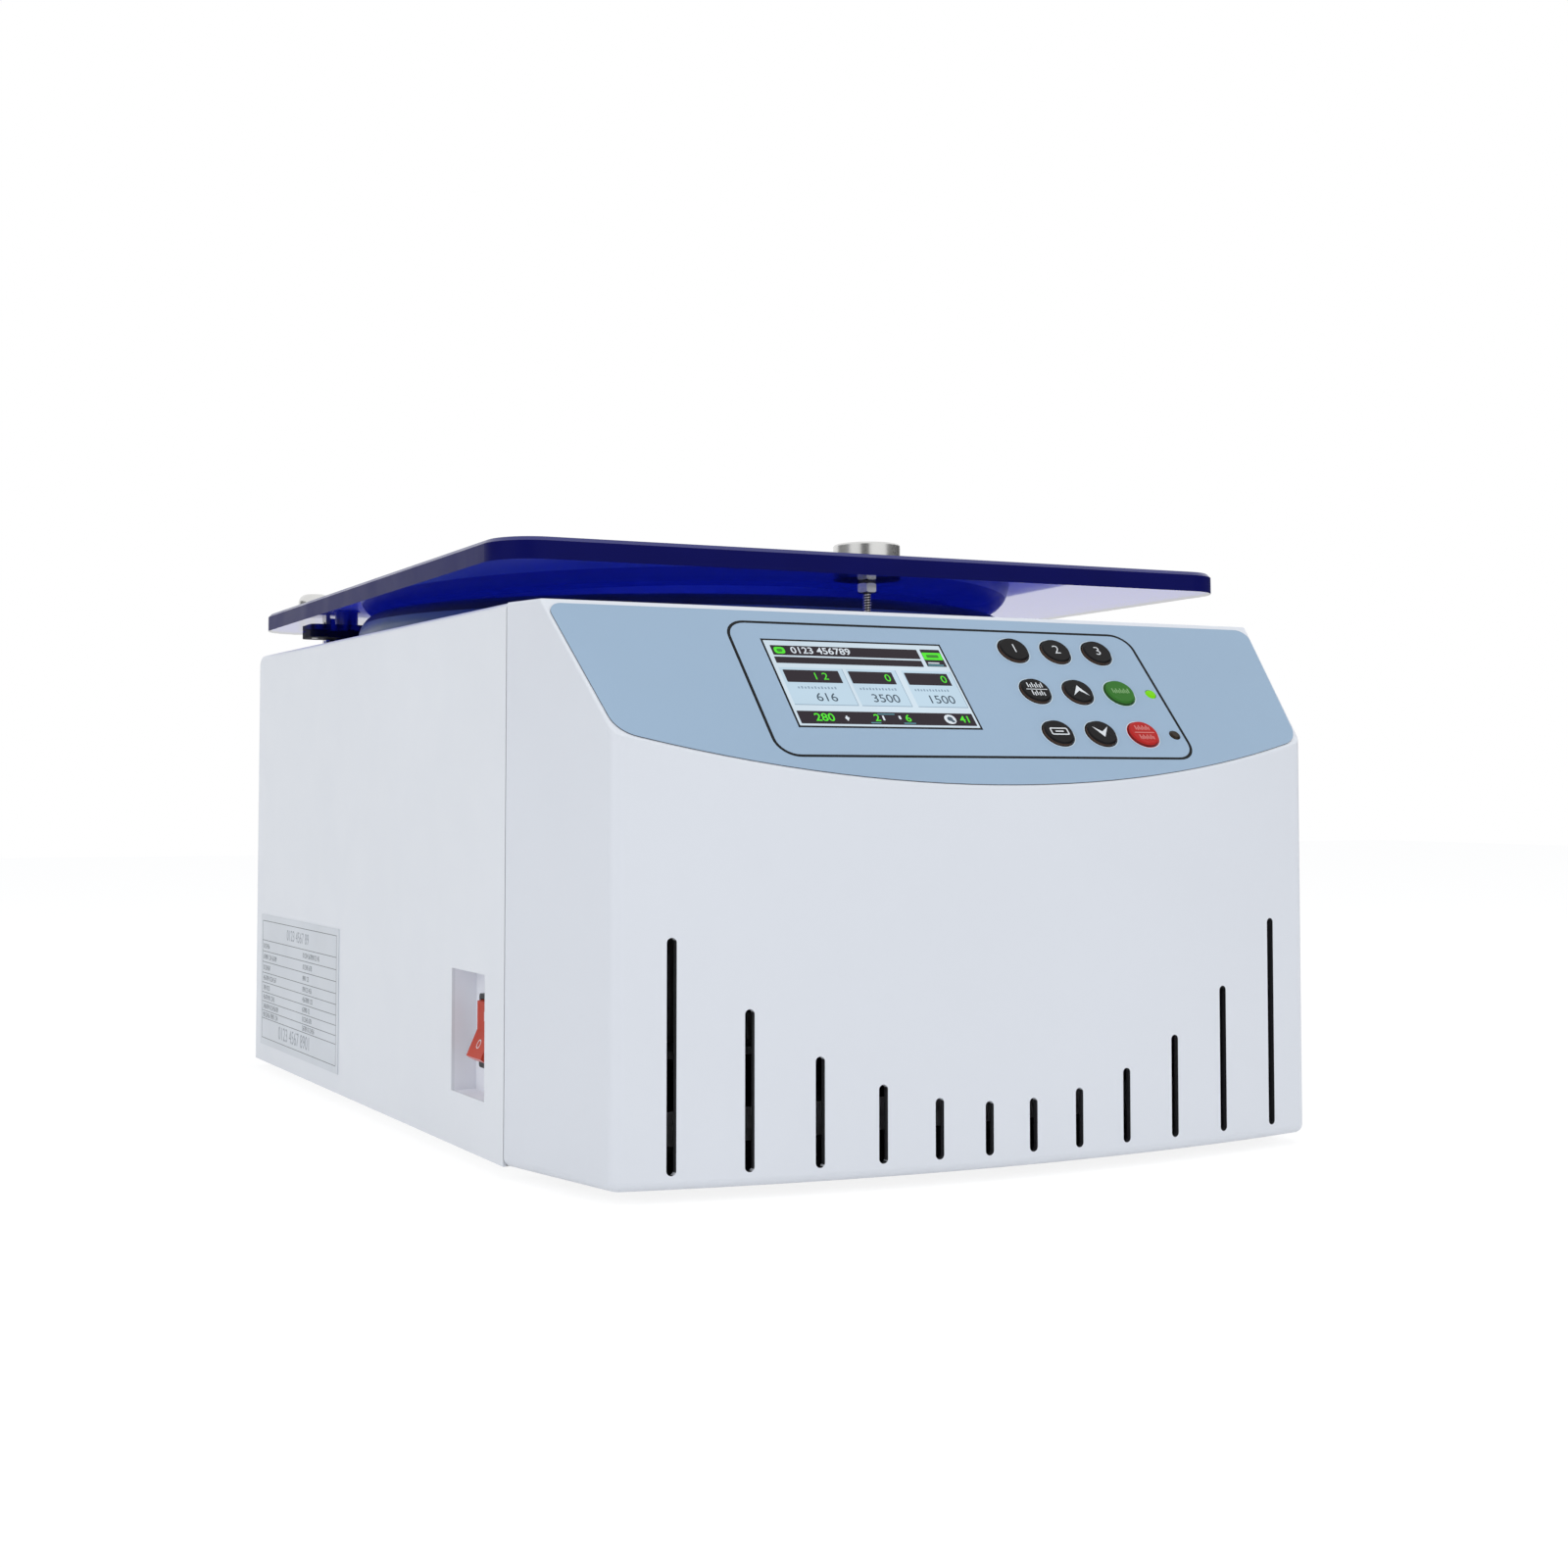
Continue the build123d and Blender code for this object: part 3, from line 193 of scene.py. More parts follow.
camera = bpy.data.objects.new("camera", bpy.data.cameras.new("camera"))
scene.collection.objects.link(camera)
camera.location = camera_place
camera.rotation_euler = (math.radians(90.0 + camera_rise), 0.0, math.radians(-camera_turn))
camera.data.lens = camera_lens
camera.data.sensor_width = camera_sensor
camera.data.shift_y = camera_shift
camera.data.clip_start = camera_nearest
scene.camera = camera


# Base tray
# A folded tray of galvanised sheet closes the case from below. Zinc from the bath
# leaves faint spangles, and the tray is held by screws through its rim.
noise_low = 0.3
noise_high = 0.7
smear_scale = 26.0
spangle_scale = 140.0
spangle_dark = 0.86
spangle_light = 1.08


def new_group(name, inputs, outputs):
    group = bpy.data.node_groups.new(name, "ShaderNodeTree")
    for label, kind in inputs:
        group.interface.new_socket(label, in_out="INPUT", socket_type="NodeSocket" + kind)
    for label, kind in outputs:
        group.interface.new_socket(label, in_out="OUTPUT", socket_type="NodeSocket" + kind)
    return group, group.nodes.new("NodeGroupInput"), group.nodes.new("NodeGroupOutput")


def group_noise(group, inlet, **sockets):
    # A noise that reads the group's own Vector and Scale
    noise = add_node(group, "TexNoise", **sockets)
    for label in ("Vector", "Scale"):
        group.links.new(inlet.outputs[label], noise.inputs[label])
    return noise.outputs["Fac"]


def spread(group, source, low, high):
    # Stretches a noise value from its usual middle range to low and high
    stretch = add_node(group, "MapRange", From_Min=noise_low, From_Max=noise_high)
    group.links.new(source, stretch.inputs["Value"])
    group.links.new(low, stretch.inputs["To Min"])
    group.links.new(high, stretch.inputs["To Max"])
    return stretch.outputs["Result"]


def tone_drift_group():
    # A colour that drifts a little lighter and darker over the surface
    group, inlet, outlet = new_group(
        "tone_drift",
        [("Vector", "Vector"), ("Scale", "Float"), ("Colour", "Color"), ("Darker", "Float"),
         ("Lighter", "Float")],
        [("Colour", "Color")],
    )
    noise = group_noise(group, inlet, Detail=4.0)
    level = spread(group, noise, inlet.outputs["Darker"], inlet.outputs["Lighter"])
    scale = add_node(group, "VectorMath")
    scale.operation = "SCALE"
    group.links.new(inlet.outputs["Colour"], scale.inputs[0])
    group.links.new(level, scale.inputs["Scale"])
    group.links.new(scale.outputs[0], outlet.inputs["Colour"])
    return group


def handled_gloss_group():
    # Roughness that rises and falls where hands and cloths have been
    group, inlet, outlet = new_group(
        "handled_gloss",
        [("Vector", "Vector"), ("Scale", "Float"), ("Smooth", "Float"), ("Dull", "Float")],
        [("Roughness", "Float")],
    )
    noise = group_noise(group, inlet, Detail=5.0, Distortion=1.2)
    level = spread(group, noise, inlet.outputs["Smooth"], inlet.outputs["Dull"])
    group.links.new(level, outlet.inputs["Roughness"])
    return group


def fine_grain_group():
    # Height of a fine moulded, sprayed or brushed skin
    group, inlet, outlet = new_group(
        "fine_grain", [("Vector", "Vector"), ("Scale", "Float")], [("Height", "Float")],
    )
    group.links.new(group_noise(group, inlet, Detail=3.0), outlet.inputs["Height"])
    return group


tone_drift = tone_drift_group()
handled_gloss = handled_gloss_group()
fine_grain = fine_grain_group()


def add_group(tree, group, **values):
    node = tree.nodes.new("ShaderNodeGroup")
    node.node_tree = group
    for label, value in values.items():
        node.inputs[label].default_value = value
    return node


def finish(name, colour, gloss, drift, skin, metallic=0.0, stretch=(1.0, 1.0, 1.0), shine=0.5):
    # One material on the piece's own coordinates. Gloss is roughness and how far it
    # strays, drift is how far the colour strays and how finely, and skin is how fine
    # and how deep the bumps are.
    roughness, smear = gloss
    strays, drift_scale = drift
    grain, depth = skin
    material = bpy.data.materials.new(name)
    material.use_nodes = True
    tree = material.node_tree
    shader = tree.nodes["Principled BSDF"]
    shader.inputs["Metallic"].default_value = metallic
    shader.inputs["Specular IOR Level"].default_value = shine
    place = add_node(tree, "TexCoord")
    along = add_node(tree, "Mapping", Scale=stretch)
    tone = add_group(tree, tone_drift, Scale=drift_scale, Colour=(*colour, 1.0),
                     Darker=1.0 - strays, Lighter=1.0 + strays)
    tone.name = "tone"
    worn = add_group(tree, handled_gloss, Scale=smear_scale,
                     Smooth=max(0.02, roughness - smear), Dull=min(1.0, roughness + smear))
    bumps = add_group(tree, fine_grain, Scale=grain)
    bump = add_node(tree, "Bump", Distance=depth)
    for node in (along, tone, worn):
        tree.links.new(place.outputs["Object"], node.inputs["Vector"])
    tree.links.new(along.outputs["Vector"], bumps.inputs["Vector"])
    tree.links.new(tone.outputs["Colour"], shader.inputs["Base Color"])
    tree.links.new(worn.outputs["Roughness"], shader.inputs["Roughness"])
    tree.links.new(bumps.outputs["Height"], bump.inputs["Height"])
    tree.links.new(bump.outputs["Normal"], shader.inputs["Normal"])
    return material


def dress(node, *materials):
    piece = nodes[node]
    piece.data.materials.clear()
    for material in materials:
        piece.data.materials.append(material)
    return piece


def galvanised_steel():
    material = finish("galvanised_steel", (0.50, 0.52, 0.54), gloss=(0.42, 0.08),
                      drift=(0.10, 60.0), skin=(300.0, 3e-6), metallic=1.0)
    tree = material.node_tree
    cells = add_node(tree, "TexVoronoi", Scale=spangle_scale)
    level = add_node(tree, "MapRange", To_Min=spangle_dark, To_Max=spangle_light)
    shade = add_node(tree, "VectorMath")
    shade.operation = "SCALE"
    tree.links.new(tree.nodes["Texture Coordinate"].outputs["Object"], cells.inputs["Vector"])
    tree.links.new(cells.outputs["Color"], level.inputs["Value"])
    tree.links.new(tree.nodes["tone"].outputs["Colour"], shade.inputs[0])
    tree.links.new(level.outputs["Result"], shade.inputs["Scale"])
    tree.links.new(shade.outputs[0], tree.nodes["Principled BSDF"].inputs["Base Color"])
    return material


galvanised = galvanised_steel()
dress("base_plate", galvanised)


# Rubber feet
# Four conical feet of black rubber, moulded with a matt skin that holds dust and
# gripped by a screw from inside the tray.
black_rubber = finish("black_rubber", (0.030, 0.031, 0.034), gloss=(0.62, 0.10), drift=(0.18, 45.0),
                      skin=(1500.0, 1e-5))
dress("rubber_feet", black_rubber)


# Screws
# Zinc-plated pan heads with a cross recess, headed from wire and all alike, stand
# round the tray's rim and round the rear panel.
screw_head_radius = 0.004
screw_head_height = 0.002
screw_head_sides = 32
dome_share = 0.7
recess_reach = 0.0022
recess_width = 0.0009
recess_depth = 0.0011
screw_turn = 17.0
same_point = 0.00001

bright_zinc = finish("bright_zinc", (0.62, 0.63, 0.64), gloss=(0.28, 0.08), drift=(0.08, 90.0),
                     skin=(2500.0, 2e-6), metallic=1.0)


def take_up(*parts):
    # Selects these objects alone, with the first one active
    bpy.ops.object.select_all(action="DESELECT")
    for part in parts:
        part.select_set(True)
    bpy.context.view_layer.objects.active = parts[0]


def settle():
    # Moves the selected object's place, turn and scale into its mesh
    bpy.ops.object.transform_apply(location=True, rotation=True, scale=True)


def shape_by(piece, kind, **settings):
    # Adds a modifier with these settings and applies it
    take_up(piece)
    modifier = piece.modifiers.new("shape", kind)
    for label, value in settings.items():
        setattr(modifier, label, value)
    bpy.ops.object.modifier_apply(modifier="shape")


def joined(parts):
    take_up(*parts)
    if len(parts) > 1:
        bpy.ops.object.join()
    return parts[0]


def finished(piece, name, material, body, angle=35.0):
    # Names, colours and seats a finished piece whose place is in its mesh
    take_up(piece)
    settle()
    bpy.ops.object.shade_smooth_by_angle(angle=math.radians(angle))
    piece.name = name
    piece.data.name = name
    piece.data.materials.clear()
    piece.data.materials.append(material)
    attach(piece, body)
    return piece


def islands(node):
    # Middle of each separate solid in a node, found from its merged mesh
    mesh = bmesh.new()
    mesh.from_mesh(nodes[node].data)
    bmesh.ops.remove_doubles(mesh, verts=mesh.verts, dist=same_point)
    left, middles = set(mesh.verts), []
    while left:
        grown, edge = set(), [left.pop()]
        while edge:
            vertex = edge.pop()
            grown.add(vertex)
            for link in vertex.link_edges:
                other = link.other_vert(vertex)
                if other in left:
                    left.discard(other)
                    edge.append(other)
        low = Vector([min(v.co[i] for v in grown) for i in range(3)])
        high = Vector([max(v.co[i] for v in grown) for i in range(3)])
        middles.append((low + high) / 2)
    mesh.free()
    return sorted(middles, key=lambda p: (round(p.x, 4), round(p.y, 4), round(p.z, 4)))


def screw_head():
    # Domed disc facing up, with a cross pressed into its top
    bpy.ops.object.select_all(action="DESELECT")
    bpy.ops.mesh.primitive_cylinder_add(
        vertices=screw_head_sides, radius=screw_head_radius, depth=screw_head_height,
        location=(0, 0, screw_head_height / 2),
    )
    head = bpy.context.object
    settle()
    shape_by(head, "BEVEL", width=screw_head_height * dome_share, segments=4)
    for turn in (0, 90):
        bpy.ops.object.select_all(action="DESELECT")
        bpy.ops.mesh.primitive_cube_add(size=1.0, location=(0, 0, screw_head_height))
        bar = bpy.context.object
        bar.scale = (2 * recess_reach, recess_width, 2 * recess_depth)
        bar.rotation_euler.z = math.radians(turn)
        settle()
        shape_by(head, "BOOLEAN", operation="DIFFERENCE", solver="EXACT", object=bar)
        bpy.data.objects.remove(bar)
    return head


def copies(master, matrices):
    # Each copy has its own mesh; the master goes away
    made = []
    for matrix in matrices:
        twin = master.copy()
        twin.data = master.data.copy()
        scene.collection.objects.link(twin)
        twin.data.transform(matrix)
        made.append(twin)
    bpy.data.objects.remove(master)
    return made


def screw_row(node, name, facing):
    upright = facing.to_track_quat("Z", "Y").to_matrix().to_4x4()
    seats = []
    for index, middle in enumerate(islands(node)):
        turn = Matrix.Rotation(math.radians(screw_turn * index), 4, "Z")
        seat = middle - facing * screw_head_height / 2
        seats.append(Matrix.Translation(seat) @ upright @ turn)
    row = finished(joined(copies(screw_head(), seats)), name, bright_zinc, "housing")
    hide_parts(node)


screw_row("base_screws", "tray_screws", Vector((0, 0, -1)))
screw_row("rear_screws", "panel_screws", Vector((0, 1, 0)))


# Motor and its mount
# A flat direct-drive motor stands on a zinced plate over four waisted rubber
# dampers: cast aluminium can, laminated core, ball bearings and a ground shaft.
cast_aluminium = finish("cast_aluminium", (0.55, 0.56, 0.57), gloss=(0.5, 0.08), drift=(0.08, 30.0),
                        skin=(700.0, 2e-5), metallic=1.0)
laminated_core = finish("laminated_core", (0.20, 0.20, 0.22), gloss=(0.45, 0.1), drift=(0.15, 40.0),
                        skin=(2000.0, 2e-5), metallic=1.0, stretch=(0.02, 0.02, 1.0))
ground_steel = finish("ground_steel", (0.58, 0.58, 0.58), gloss=(0.22, 0.05), drift=(0.05, 60.0),
                      skin=(3000.0, 2e-6), metallic=1.0, stretch=(0.05, 0.05, 1.0))
dress("motor_mount_plate", galvanised)
dress("damper_mounts", black_rubber)
dress("motor_housing", cast_aluminium)
dress("motor_stator", laminated_core)
dress("motor_armature", laminated_core)
dress("motor_bearings", ground_steel)
dress("drive_shaft", ground_steel)


# Boards
# Green fibre boards carry the motor drive behind the chamber and the key switches
# behind the panel. Solder, traces and copper show as finer, lighter lines.
trace_scale = 160.0
trace_width = 0.06
trace_colour = (0.10, 0.34, 0.16, 1.0)
board_dark = (0.02, 0.14, 0.06, 1.0)
board_light = (0.03, 0.18, 0.08, 1.0)


def circuit_board():
    material = finish("circuit_board", (0.03, 0.17, 0.07), gloss=(0.35, 0.08), drift=(0.12, 80.0),
                      skin=(1200.0, 2e-5))
    tree = material.node_tree
    traces = add_node(tree, "TexBrick", Scale=trace_scale, Mortar_Size=trace_width,
                      Color1=board_dark, Color2=board_light, Mortar=trace_colour)
    tree.links.new(tree.nodes["Texture Coordinate"].outputs["Object"], traces.inputs["Vector"])
    tree.links.new(traces.outputs["Color"], tree.nodes["tone"].inputs["Colour"])
    return material


board_green = circuit_board()
dress("control_board", board_green)
dress("drive_board", board_green)
dress("drive_heatsink", cast_aluminium)


# Steel case
# One folded sheet makes the sides, the top and a frame round the rear, with a
# recess pan for the switch. It is sprayed white with the faint skin of stoved paint.
white_paint = finish("white_paint", (0.762, 0.790, 0.835), gloss=(0.40, 0.05), drift=(0.012, 6.0),
                     skin=(420.0, 5e-6))
dress("case_cover", white_paint)
dress("rear_panel", white_paint)
# The recess pan takes a lighter copy of the white paint, painted light for the shaded recess
pan_paint_painted_light = finish("pan_paint_painted_light", (0.855, 0.870, 0.925), gloss=(0.40, 0.05), drift=(0.012, 6.0),
                   skin=(420.0, 5e-6))
dress("switch_recess", pan_paint_painted_light)


# Side plate
# A thin silver-grey foil plate is stuck low on the left side. A ruled frame and rows
# of plain numbers are printed on it, small in grey ink and large in a paler one.
rule_shares = (0.05, 0.20, 0.285, 0.367, 0.45, 0.525, 0.60, 0.67, 0.74, 0.80, 0.95)
row_numbers = (
    ("0123456", "01234 567890123 45"),
    ("678901 234 56789", "012345 678"),
    ("01234567", "8901 23"),
    ("456789 01234 567", "890123 456"),
    ("789 0123", "4567890 123"),
    ("45678 901 2345", "67890 12"),
    ("3456789 0123456789", "012345 678"),
    ("90123456 78901 234", "56789 0123456"),
)
row_size = 0.0040
column_share = 0.57
top_size, top_inset, top_share = 0.0085, 0.055, 0.125
foot_size, foot_inset, foot_share = 0.0105, 0.038, 0.875
rule_width = 0.00035
print_proud = 0.00003
plate_margin = 0.004

plate_foil = finish("plate_foil", (0.64, 0.675, 0.72), gloss=(0.42, 0.05), drift=(0.04, 20.0),
                    skin=(900.0, 3e-6))
grey_ink = finish("grey_ink", (0.150, 0.168, 0.190), gloss=(0.5, 0.05), drift=(0.05, 40.0),
                  skin=(900.0, 2e-6), shine=0.2)
pale_ink = finish("pale_ink", (0.36, 0.39, 0.43), gloss=(0.5, 0.05), drift=(0.05, 40.0),
                  skin=(900.0, 2e-6), shine=0.2)
dress("rating_plate", plate_foil)
plate_low, plate_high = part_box("rating_plate")
plate_left, plate_right = plate_high.y - plate_margin, plate_low.y + plate_margin


def plate_level(share):
    return plate_high.z + (plate_low.z - plate_high.z) * share


def plate_bar(y_range, z_range):
    # One printed line on the foil, a flat bar between two corners
    low = Vector((plate_low.x - print_proud, min(y_range), min(z_range)))
    high = Vector((plate_low.x + print_proud, max(y_range), max(z_range)))
    bpy.ops.object.select_all(action="DESELECT")
    bpy.ops.mesh.primitive_cube_add(size=1.0, location=(low + high) / 2)
    bar = bpy.context.object
    bar.scale = high - low
    settle()
    return bar


def plain_figures(text, size, half_thickness, bold=0.0, across="CENTER"):
    # Figures as a flat closed mesh at the origin, facing up
    bpy.ops.object.select_all(action="DESELECT")
    bpy.ops.object.text_add()
    letters = bpy.context.object.data
    letters.body = text
    letters.size = size
    letters.align_x = across
    letters.align_y = "CENTER"
    letters.extrude = half_thickness
    letters.offset = bold
    bpy.ops.object.convert(target="MESH")
    return bpy.context.object


def plate_number(text, size, start, share):
    # Plain figures that read from the rear towards the front
    number = plain_figures(text, size, print_proud, across="LEFT")
    number.data.transform(Matrix((
        (0.0, 0.0, -1.0, plate_low.x),
        (-1.0, 0.0, 0.0, start),
        (0.0, 1.0, 0.0, plate_level(share)),
        (0.0, 0.0, 0.0, 1.0),
    )))
    return number


def plate_print():
    parts = []
    for share in rule_shares:
        level = plate_level(share)
        parts.append(plate_bar((plate_left, plate_right), (level, level + rule_width)))
    ends = plate_level(rule_shares[0]), plate_level(rule_shares[-1])
    for y in (plate_left, plate_right):
        parts.append(plate_bar((y, y + rule_width), ends))
    column = plate_left + (plate_right - plate_left) * column_share
    for index, (first, second) in enumerate(row_numbers):
        share = (rule_shares[index + 1] + rule_shares[index + 2]) / 2
        parts.append(plate_number(first, row_size, plate_left - plate_margin / 2, share))
        parts.append(plate_number(second, row_size, column, share))
    return joined(parts)


finished(plate_print(), "plate_print", grey_ink, "housing")
large_print = joined([
    plate_number("0123 4567 89", top_size, plate_left - top_inset, top_share),
    plate_number("0123 4567 8901", foot_size, plate_left - foot_inset, foot_share),
])
finished(large_print, "plate_figures", pale_ink, "housing")


# Rear panel fittings
# A box fan behind a wire finger guard, a three-blade inlet and a fuse holder sit
# in the rear panel. Their bodies are black glass-filled nylon, straight from the tool.
blade_reach = 0.0095
blade_rise = 0.0062
socket_depth = 0.003
guard_wire = 0.0010
guard_rings = 3
guard_reach = 0.0425
guard_pitch = 0.0140
guard_arms = 4
guard_hub = 0.008
guard_arm_share = 1.2
guard_eye = 0.0032

black_nylon = finish("black_nylon", (0.024, 0.024, 0.026), gloss=(0.48, 0.08), drift=(0.12, 50.0),
                     skin=(1300.0, 1.2e-5))
tinned_brass = finish("tinned_brass", (0.72, 0.62, 0.42), gloss=(0.3, 0.08), drift=(0.08, 80.0),
                      skin=(1500.0, 3e-6), metallic=1.0)
dress("fan_frame", black_nylon)
dress("fan_blades", black_nylon)
dress("fuse_holder", black_nylon)


def centre_of(node):
    low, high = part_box(node)
    return (low + high) / 2


def second_finish(piece, chosen):
    # Faces that pass the test take the piece's second material
    for face in piece.data.polygons:
        face.material_index = 1 if chosen(face.center, face.normal) else 0


inlet_middle = centre_of("power_inlet")
socket_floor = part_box("power_inlet")[1].y - socket_depth


def is_blade(middle, normal):
    away = middle - inlet_middle
    among = abs(away.x) < blade_reach and abs(away.z) < blade_rise
    return among and middle.y < socket_floor and abs(normal.y) < 0.5


second_finish(dress("power_inlet", black_nylon, tinned_brass), is_blade)


def wire_ring(middle, radius, sides):
    # A ring of round wire that faces the rear
    bpy.ops.object.select_all(action="DESELECT")
    bpy.ops.mesh.primitive_torus_add(
        major_radius=radius, minor_radius=guard_wire, major_segments=sides, minor_segments=10,
        location=middle, rotation=(math.radians(90), 0, 0),
    )
    return bpy.context.object


def wire_guard():
    # Rings of round wire, welded to straight arms that end in eyes at the corners
    low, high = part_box("fan_guard")
    middle = (low + high) / 2
    arm_end = (high.x - low.x) / 2 * guard_arm_share
    parts = [wire_ring(middle, guard_reach - ring * guard_pitch, 72) for ring in range(guard_rings)]
    for arm in range(guard_arms):
        angle = math.radians(45 + 90 * arm)
        along = Vector((math.cos(angle), 0, math.sin(angle)))
        bpy.ops.object.select_all(action="DESELECT")
        bpy.ops.mesh.primitive_cylinder_add(
            vertices=12, radius=guard_wire, depth=arm_end - guard_hub,
            location=middle + along * (guard_hub + arm_end) / 2,
            rotation=along.to_track_quat("Z", "Y").to_euler(),
        )
        parts.append(bpy.context.object)
        parts.append(wire_ring(middle + along * (arm_end + guard_eye), guard_eye, 24))
    guard = finished(joined(parts), "wire_guard", bright_zinc, "housing")
    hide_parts("fan_guard")
    return guard


wire_guard()


# Front moulding
# One vacuum-formed white shell with flat facets, a bowed face and a sloped top.
# Its inside, the slot walls and the rear rim take a near-black colour, painted shade,
# so the air slots show black.
bay_from_rear = 0.05
bay_rise = 0.09
slot_reach = 0.165
square_on = 0.9

white_moulding = finish("white_moulding", (0.742, 0.770, 0.822), gloss=(0.42, 0.05),
                        drift=(0.014, 5.0), skin=(520.0, 6e-6))
# Near-black painted shade for the inside, the slot walls and the rear rim
moulding_painted_shade = finish("moulding_painted_shade", (0.035, 0.035, 0.04), gloss=(0.7, 0.08), drift=(0.15, 20.0),
                       skin=(500.0, 2e-5))
moulding_low, moulding_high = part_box("front_cover")
bay_middle = Vector((0.0, moulding_high.y - bay_from_rear, moulding_low.z + bay_rise))


def painted_shade_faces(middle, normal):
    slot_wall = abs(normal.x) > square_on and abs(middle.x) < slot_reach
    rear_rim = normal.y > square_on
    return slot_wall or rear_rim or (middle - bay_middle).dot(normal) < 0.0


second_finish(dress("front_cover", white_moulding, moulding_painted_shade), painted_shade_faces)


# Panel film
# A printed polyester film, 0.5 mm thick, lies in the sloped panel. A thin black
# line with round corners is printed round the display and the keys.
panel_slope = math.radians(46.9)
panel_origin = Vector((0.0, -0.1945, 0.245))
film_thickness = 0.0005
film_lean = 0.7
line_left = -0.1048
line_right = 0.1086
line_top = 0.0097
line_foot = 0.0920
line_corner = 0.0105
line_width = 0.0014
ink_proud = 0.00004

panel_up = Vector((0.0, math.cos(panel_slope), math.sin(panel_slope)))
panel_out = Vector((0.0, -math.sin(panel_slope), math.cos(panel_slope)))
panel_matrix = Matrix((
    (1.0, 0.0, 0.0, panel_origin.x),
    (0.0, panel_up.y, panel_out.y, panel_origin.y),
    (0.0, panel_up.z, panel_out.z, panel_origin.z),
    (0.0, 0.0, 0.0, 1.0),
))

film_blue = finish("film_blue", (0.300, 0.425, 0.568), gloss=(0.36, 0.05), drift=(0.03, 7.0),
                   skin=(1600.0, 3e-6))
film_edge = finish("film_edge", (0.10, 0.12, 0.15), gloss=(0.5, 0.05), drift=(0.1, 40.0),
                   skin=(900.0, 3e-6))
black_ink = finish("black_ink", (0.004, 0.005, 0.006), gloss=(0.5, 0.05), drift=(0.1, 60.0),
                   skin=(1600.0, 2e-6), shine=0.15)
film = dress("control_overlay", film_blue, film_edge)
second_finish(film, lambda middle, normal: normal.dot(panel_out) < film_lean)


def seated_on_panel(piece, x, down, height):
    # Lays a flat piece, drawn round the origin, on the panel at x and down the slope
    piece.data.transform(panel_matrix @ Matrix.Translation((x, -down, height)))
    return piece


def flat_outline(width, height, corner, steps=8):
    # A filled rectangle with round corners, in the ground plane
    bpy.ops.object.select_all(action="DESELECT")
    bpy.ops.mesh.primitive_plane_add(size=1.0)
    sheet = bpy.context.object
    sheet.scale = (width, height, 1.0)
    settle()
    bpy.ops.object.mode_set(mode="EDIT")
    bpy.ops.mesh.select_all(action="SELECT")
    bpy.ops.mesh.bevel(offset=corner, offset_type="OFFSET", segments=steps, affect="VERTICES")
    bpy.ops.object.mode_set(mode="OBJECT")
    return sheet


def thickened(sheet, thickness):
    # Gives a flat sheet its thickness upwards, and closes it
    shape_by(sheet, "SOLIDIFY", thickness=thickness, offset=1.0)
    return sheet


def border_only(sheet, line, thickness):
    # Cuts the middle out of a flat sheet and thickens the line that is left
    take_up(sheet)
    bpy.ops.object.mode_set(mode="EDIT")
    bpy.ops.mesh.select_all(action="SELECT")
    bpy.ops.mesh.inset(thickness=line)
    bpy.ops.mesh.delete(type="FACE")
    bpy.ops.object.mode_set(mode="OBJECT")
    return thickened(sheet, thickness)


frame_line = border_only(flat_outline(line_right - line_left, line_foot - line_top, line_corner),
                         line_width, ink_proud)
seated_on_panel(frame_line, (line_left + line_right) / 2, (line_top + line_foot) / 2, film_thickness)
finished(frame_line, "printed_line", black_ink, "housing")


# Display
# A lit colour screen of 90 by 53.5 mm behind a clear window with a thin black rim.
# Its page is generic: dark bars, three cards and a dark row, all with plain numbers.
screen_width = 0.0900
screen_height = 0.0535
screen_x = -0.0445
screen_down = 0.0478
screen_step = 0.00002
screen_rim = 0.0007
block_corner = 0.0003
bold, half_bold = 0.00008, 0.00003
pixel_tint, pixel_drift, pixel_dim, pixel_bright = 0.06, 18.0, 0.93, 1.05
stroke_share, stroke_reach, stroke_count = 0.556, 0.014, 12
page_edge = screen_rim / screen_width
columns = ((0.044, 0.343), (0.397, 0.640), (0.710, 0.954))
cards = ((0.028, 0.372), (0.390, 0.668), (0.700, 0.982))


def lit(name, colour, strength=0.82, roughness=0.25):
    # Pixels behind a window: mostly their own light
    material = finish(name, tuple(pixel_tint * part for part in colour), gloss=(roughness, 0.03),
                      drift=(0.05, 60.0), skin=(4000.0, 5e-7), shine=0.12)
    tree = material.node_tree
    shader = tree.nodes["Principled BSDF"]
    glow = add_group(tree, tone_drift, Scale=pixel_drift, Colour=(*colour, 1.0),
                     Darker=pixel_dim, Lighter=pixel_bright)
    tree.links.new(tree.nodes["Texture Coordinate"].outputs["Object"], glow.inputs["Vector"])
    tree.links.new(glow.outputs["Colour"], shader.inputs["Emission Color"])
    shader.inputs["Emission Strength"].default_value = strength
    return material


pixel_page = lit("pixel_page", (0.70, 0.83, 0.93))
pixel_card = lit("pixel_card", (0.58, 0.75, 0.88))
pixel_dark = lit("pixel_dark", (0.026, 0.018, 0.026))
pixel_green = lit("pixel_green", (0.09, 0.80, 0.03), 0.95)
pixel_deep = lit("pixel_deep", (0.05, 0.28, 0.03))
pixel_grey = lit("pixel_grey", (0.085, 0.125, 0.165))
pixel_pale = lit("pixel_pale", (0.80, 0.88, 0.95))
pixel_faint = lit("pixel_faint", (0.30, 0.41, 0.52))
pixel_teal = lit("pixel_teal", (0.12, 0.30, 0.36))
window_rim = finish("window_rim", (0.004, 0.004, 0.005), gloss=(0.35, 0.04), drift=(0.1, 60.0),
                    skin=(3000.0, 1e-6), shine=0.15)
dress("display_window", window_rim)
dress("display_module", black_nylon)


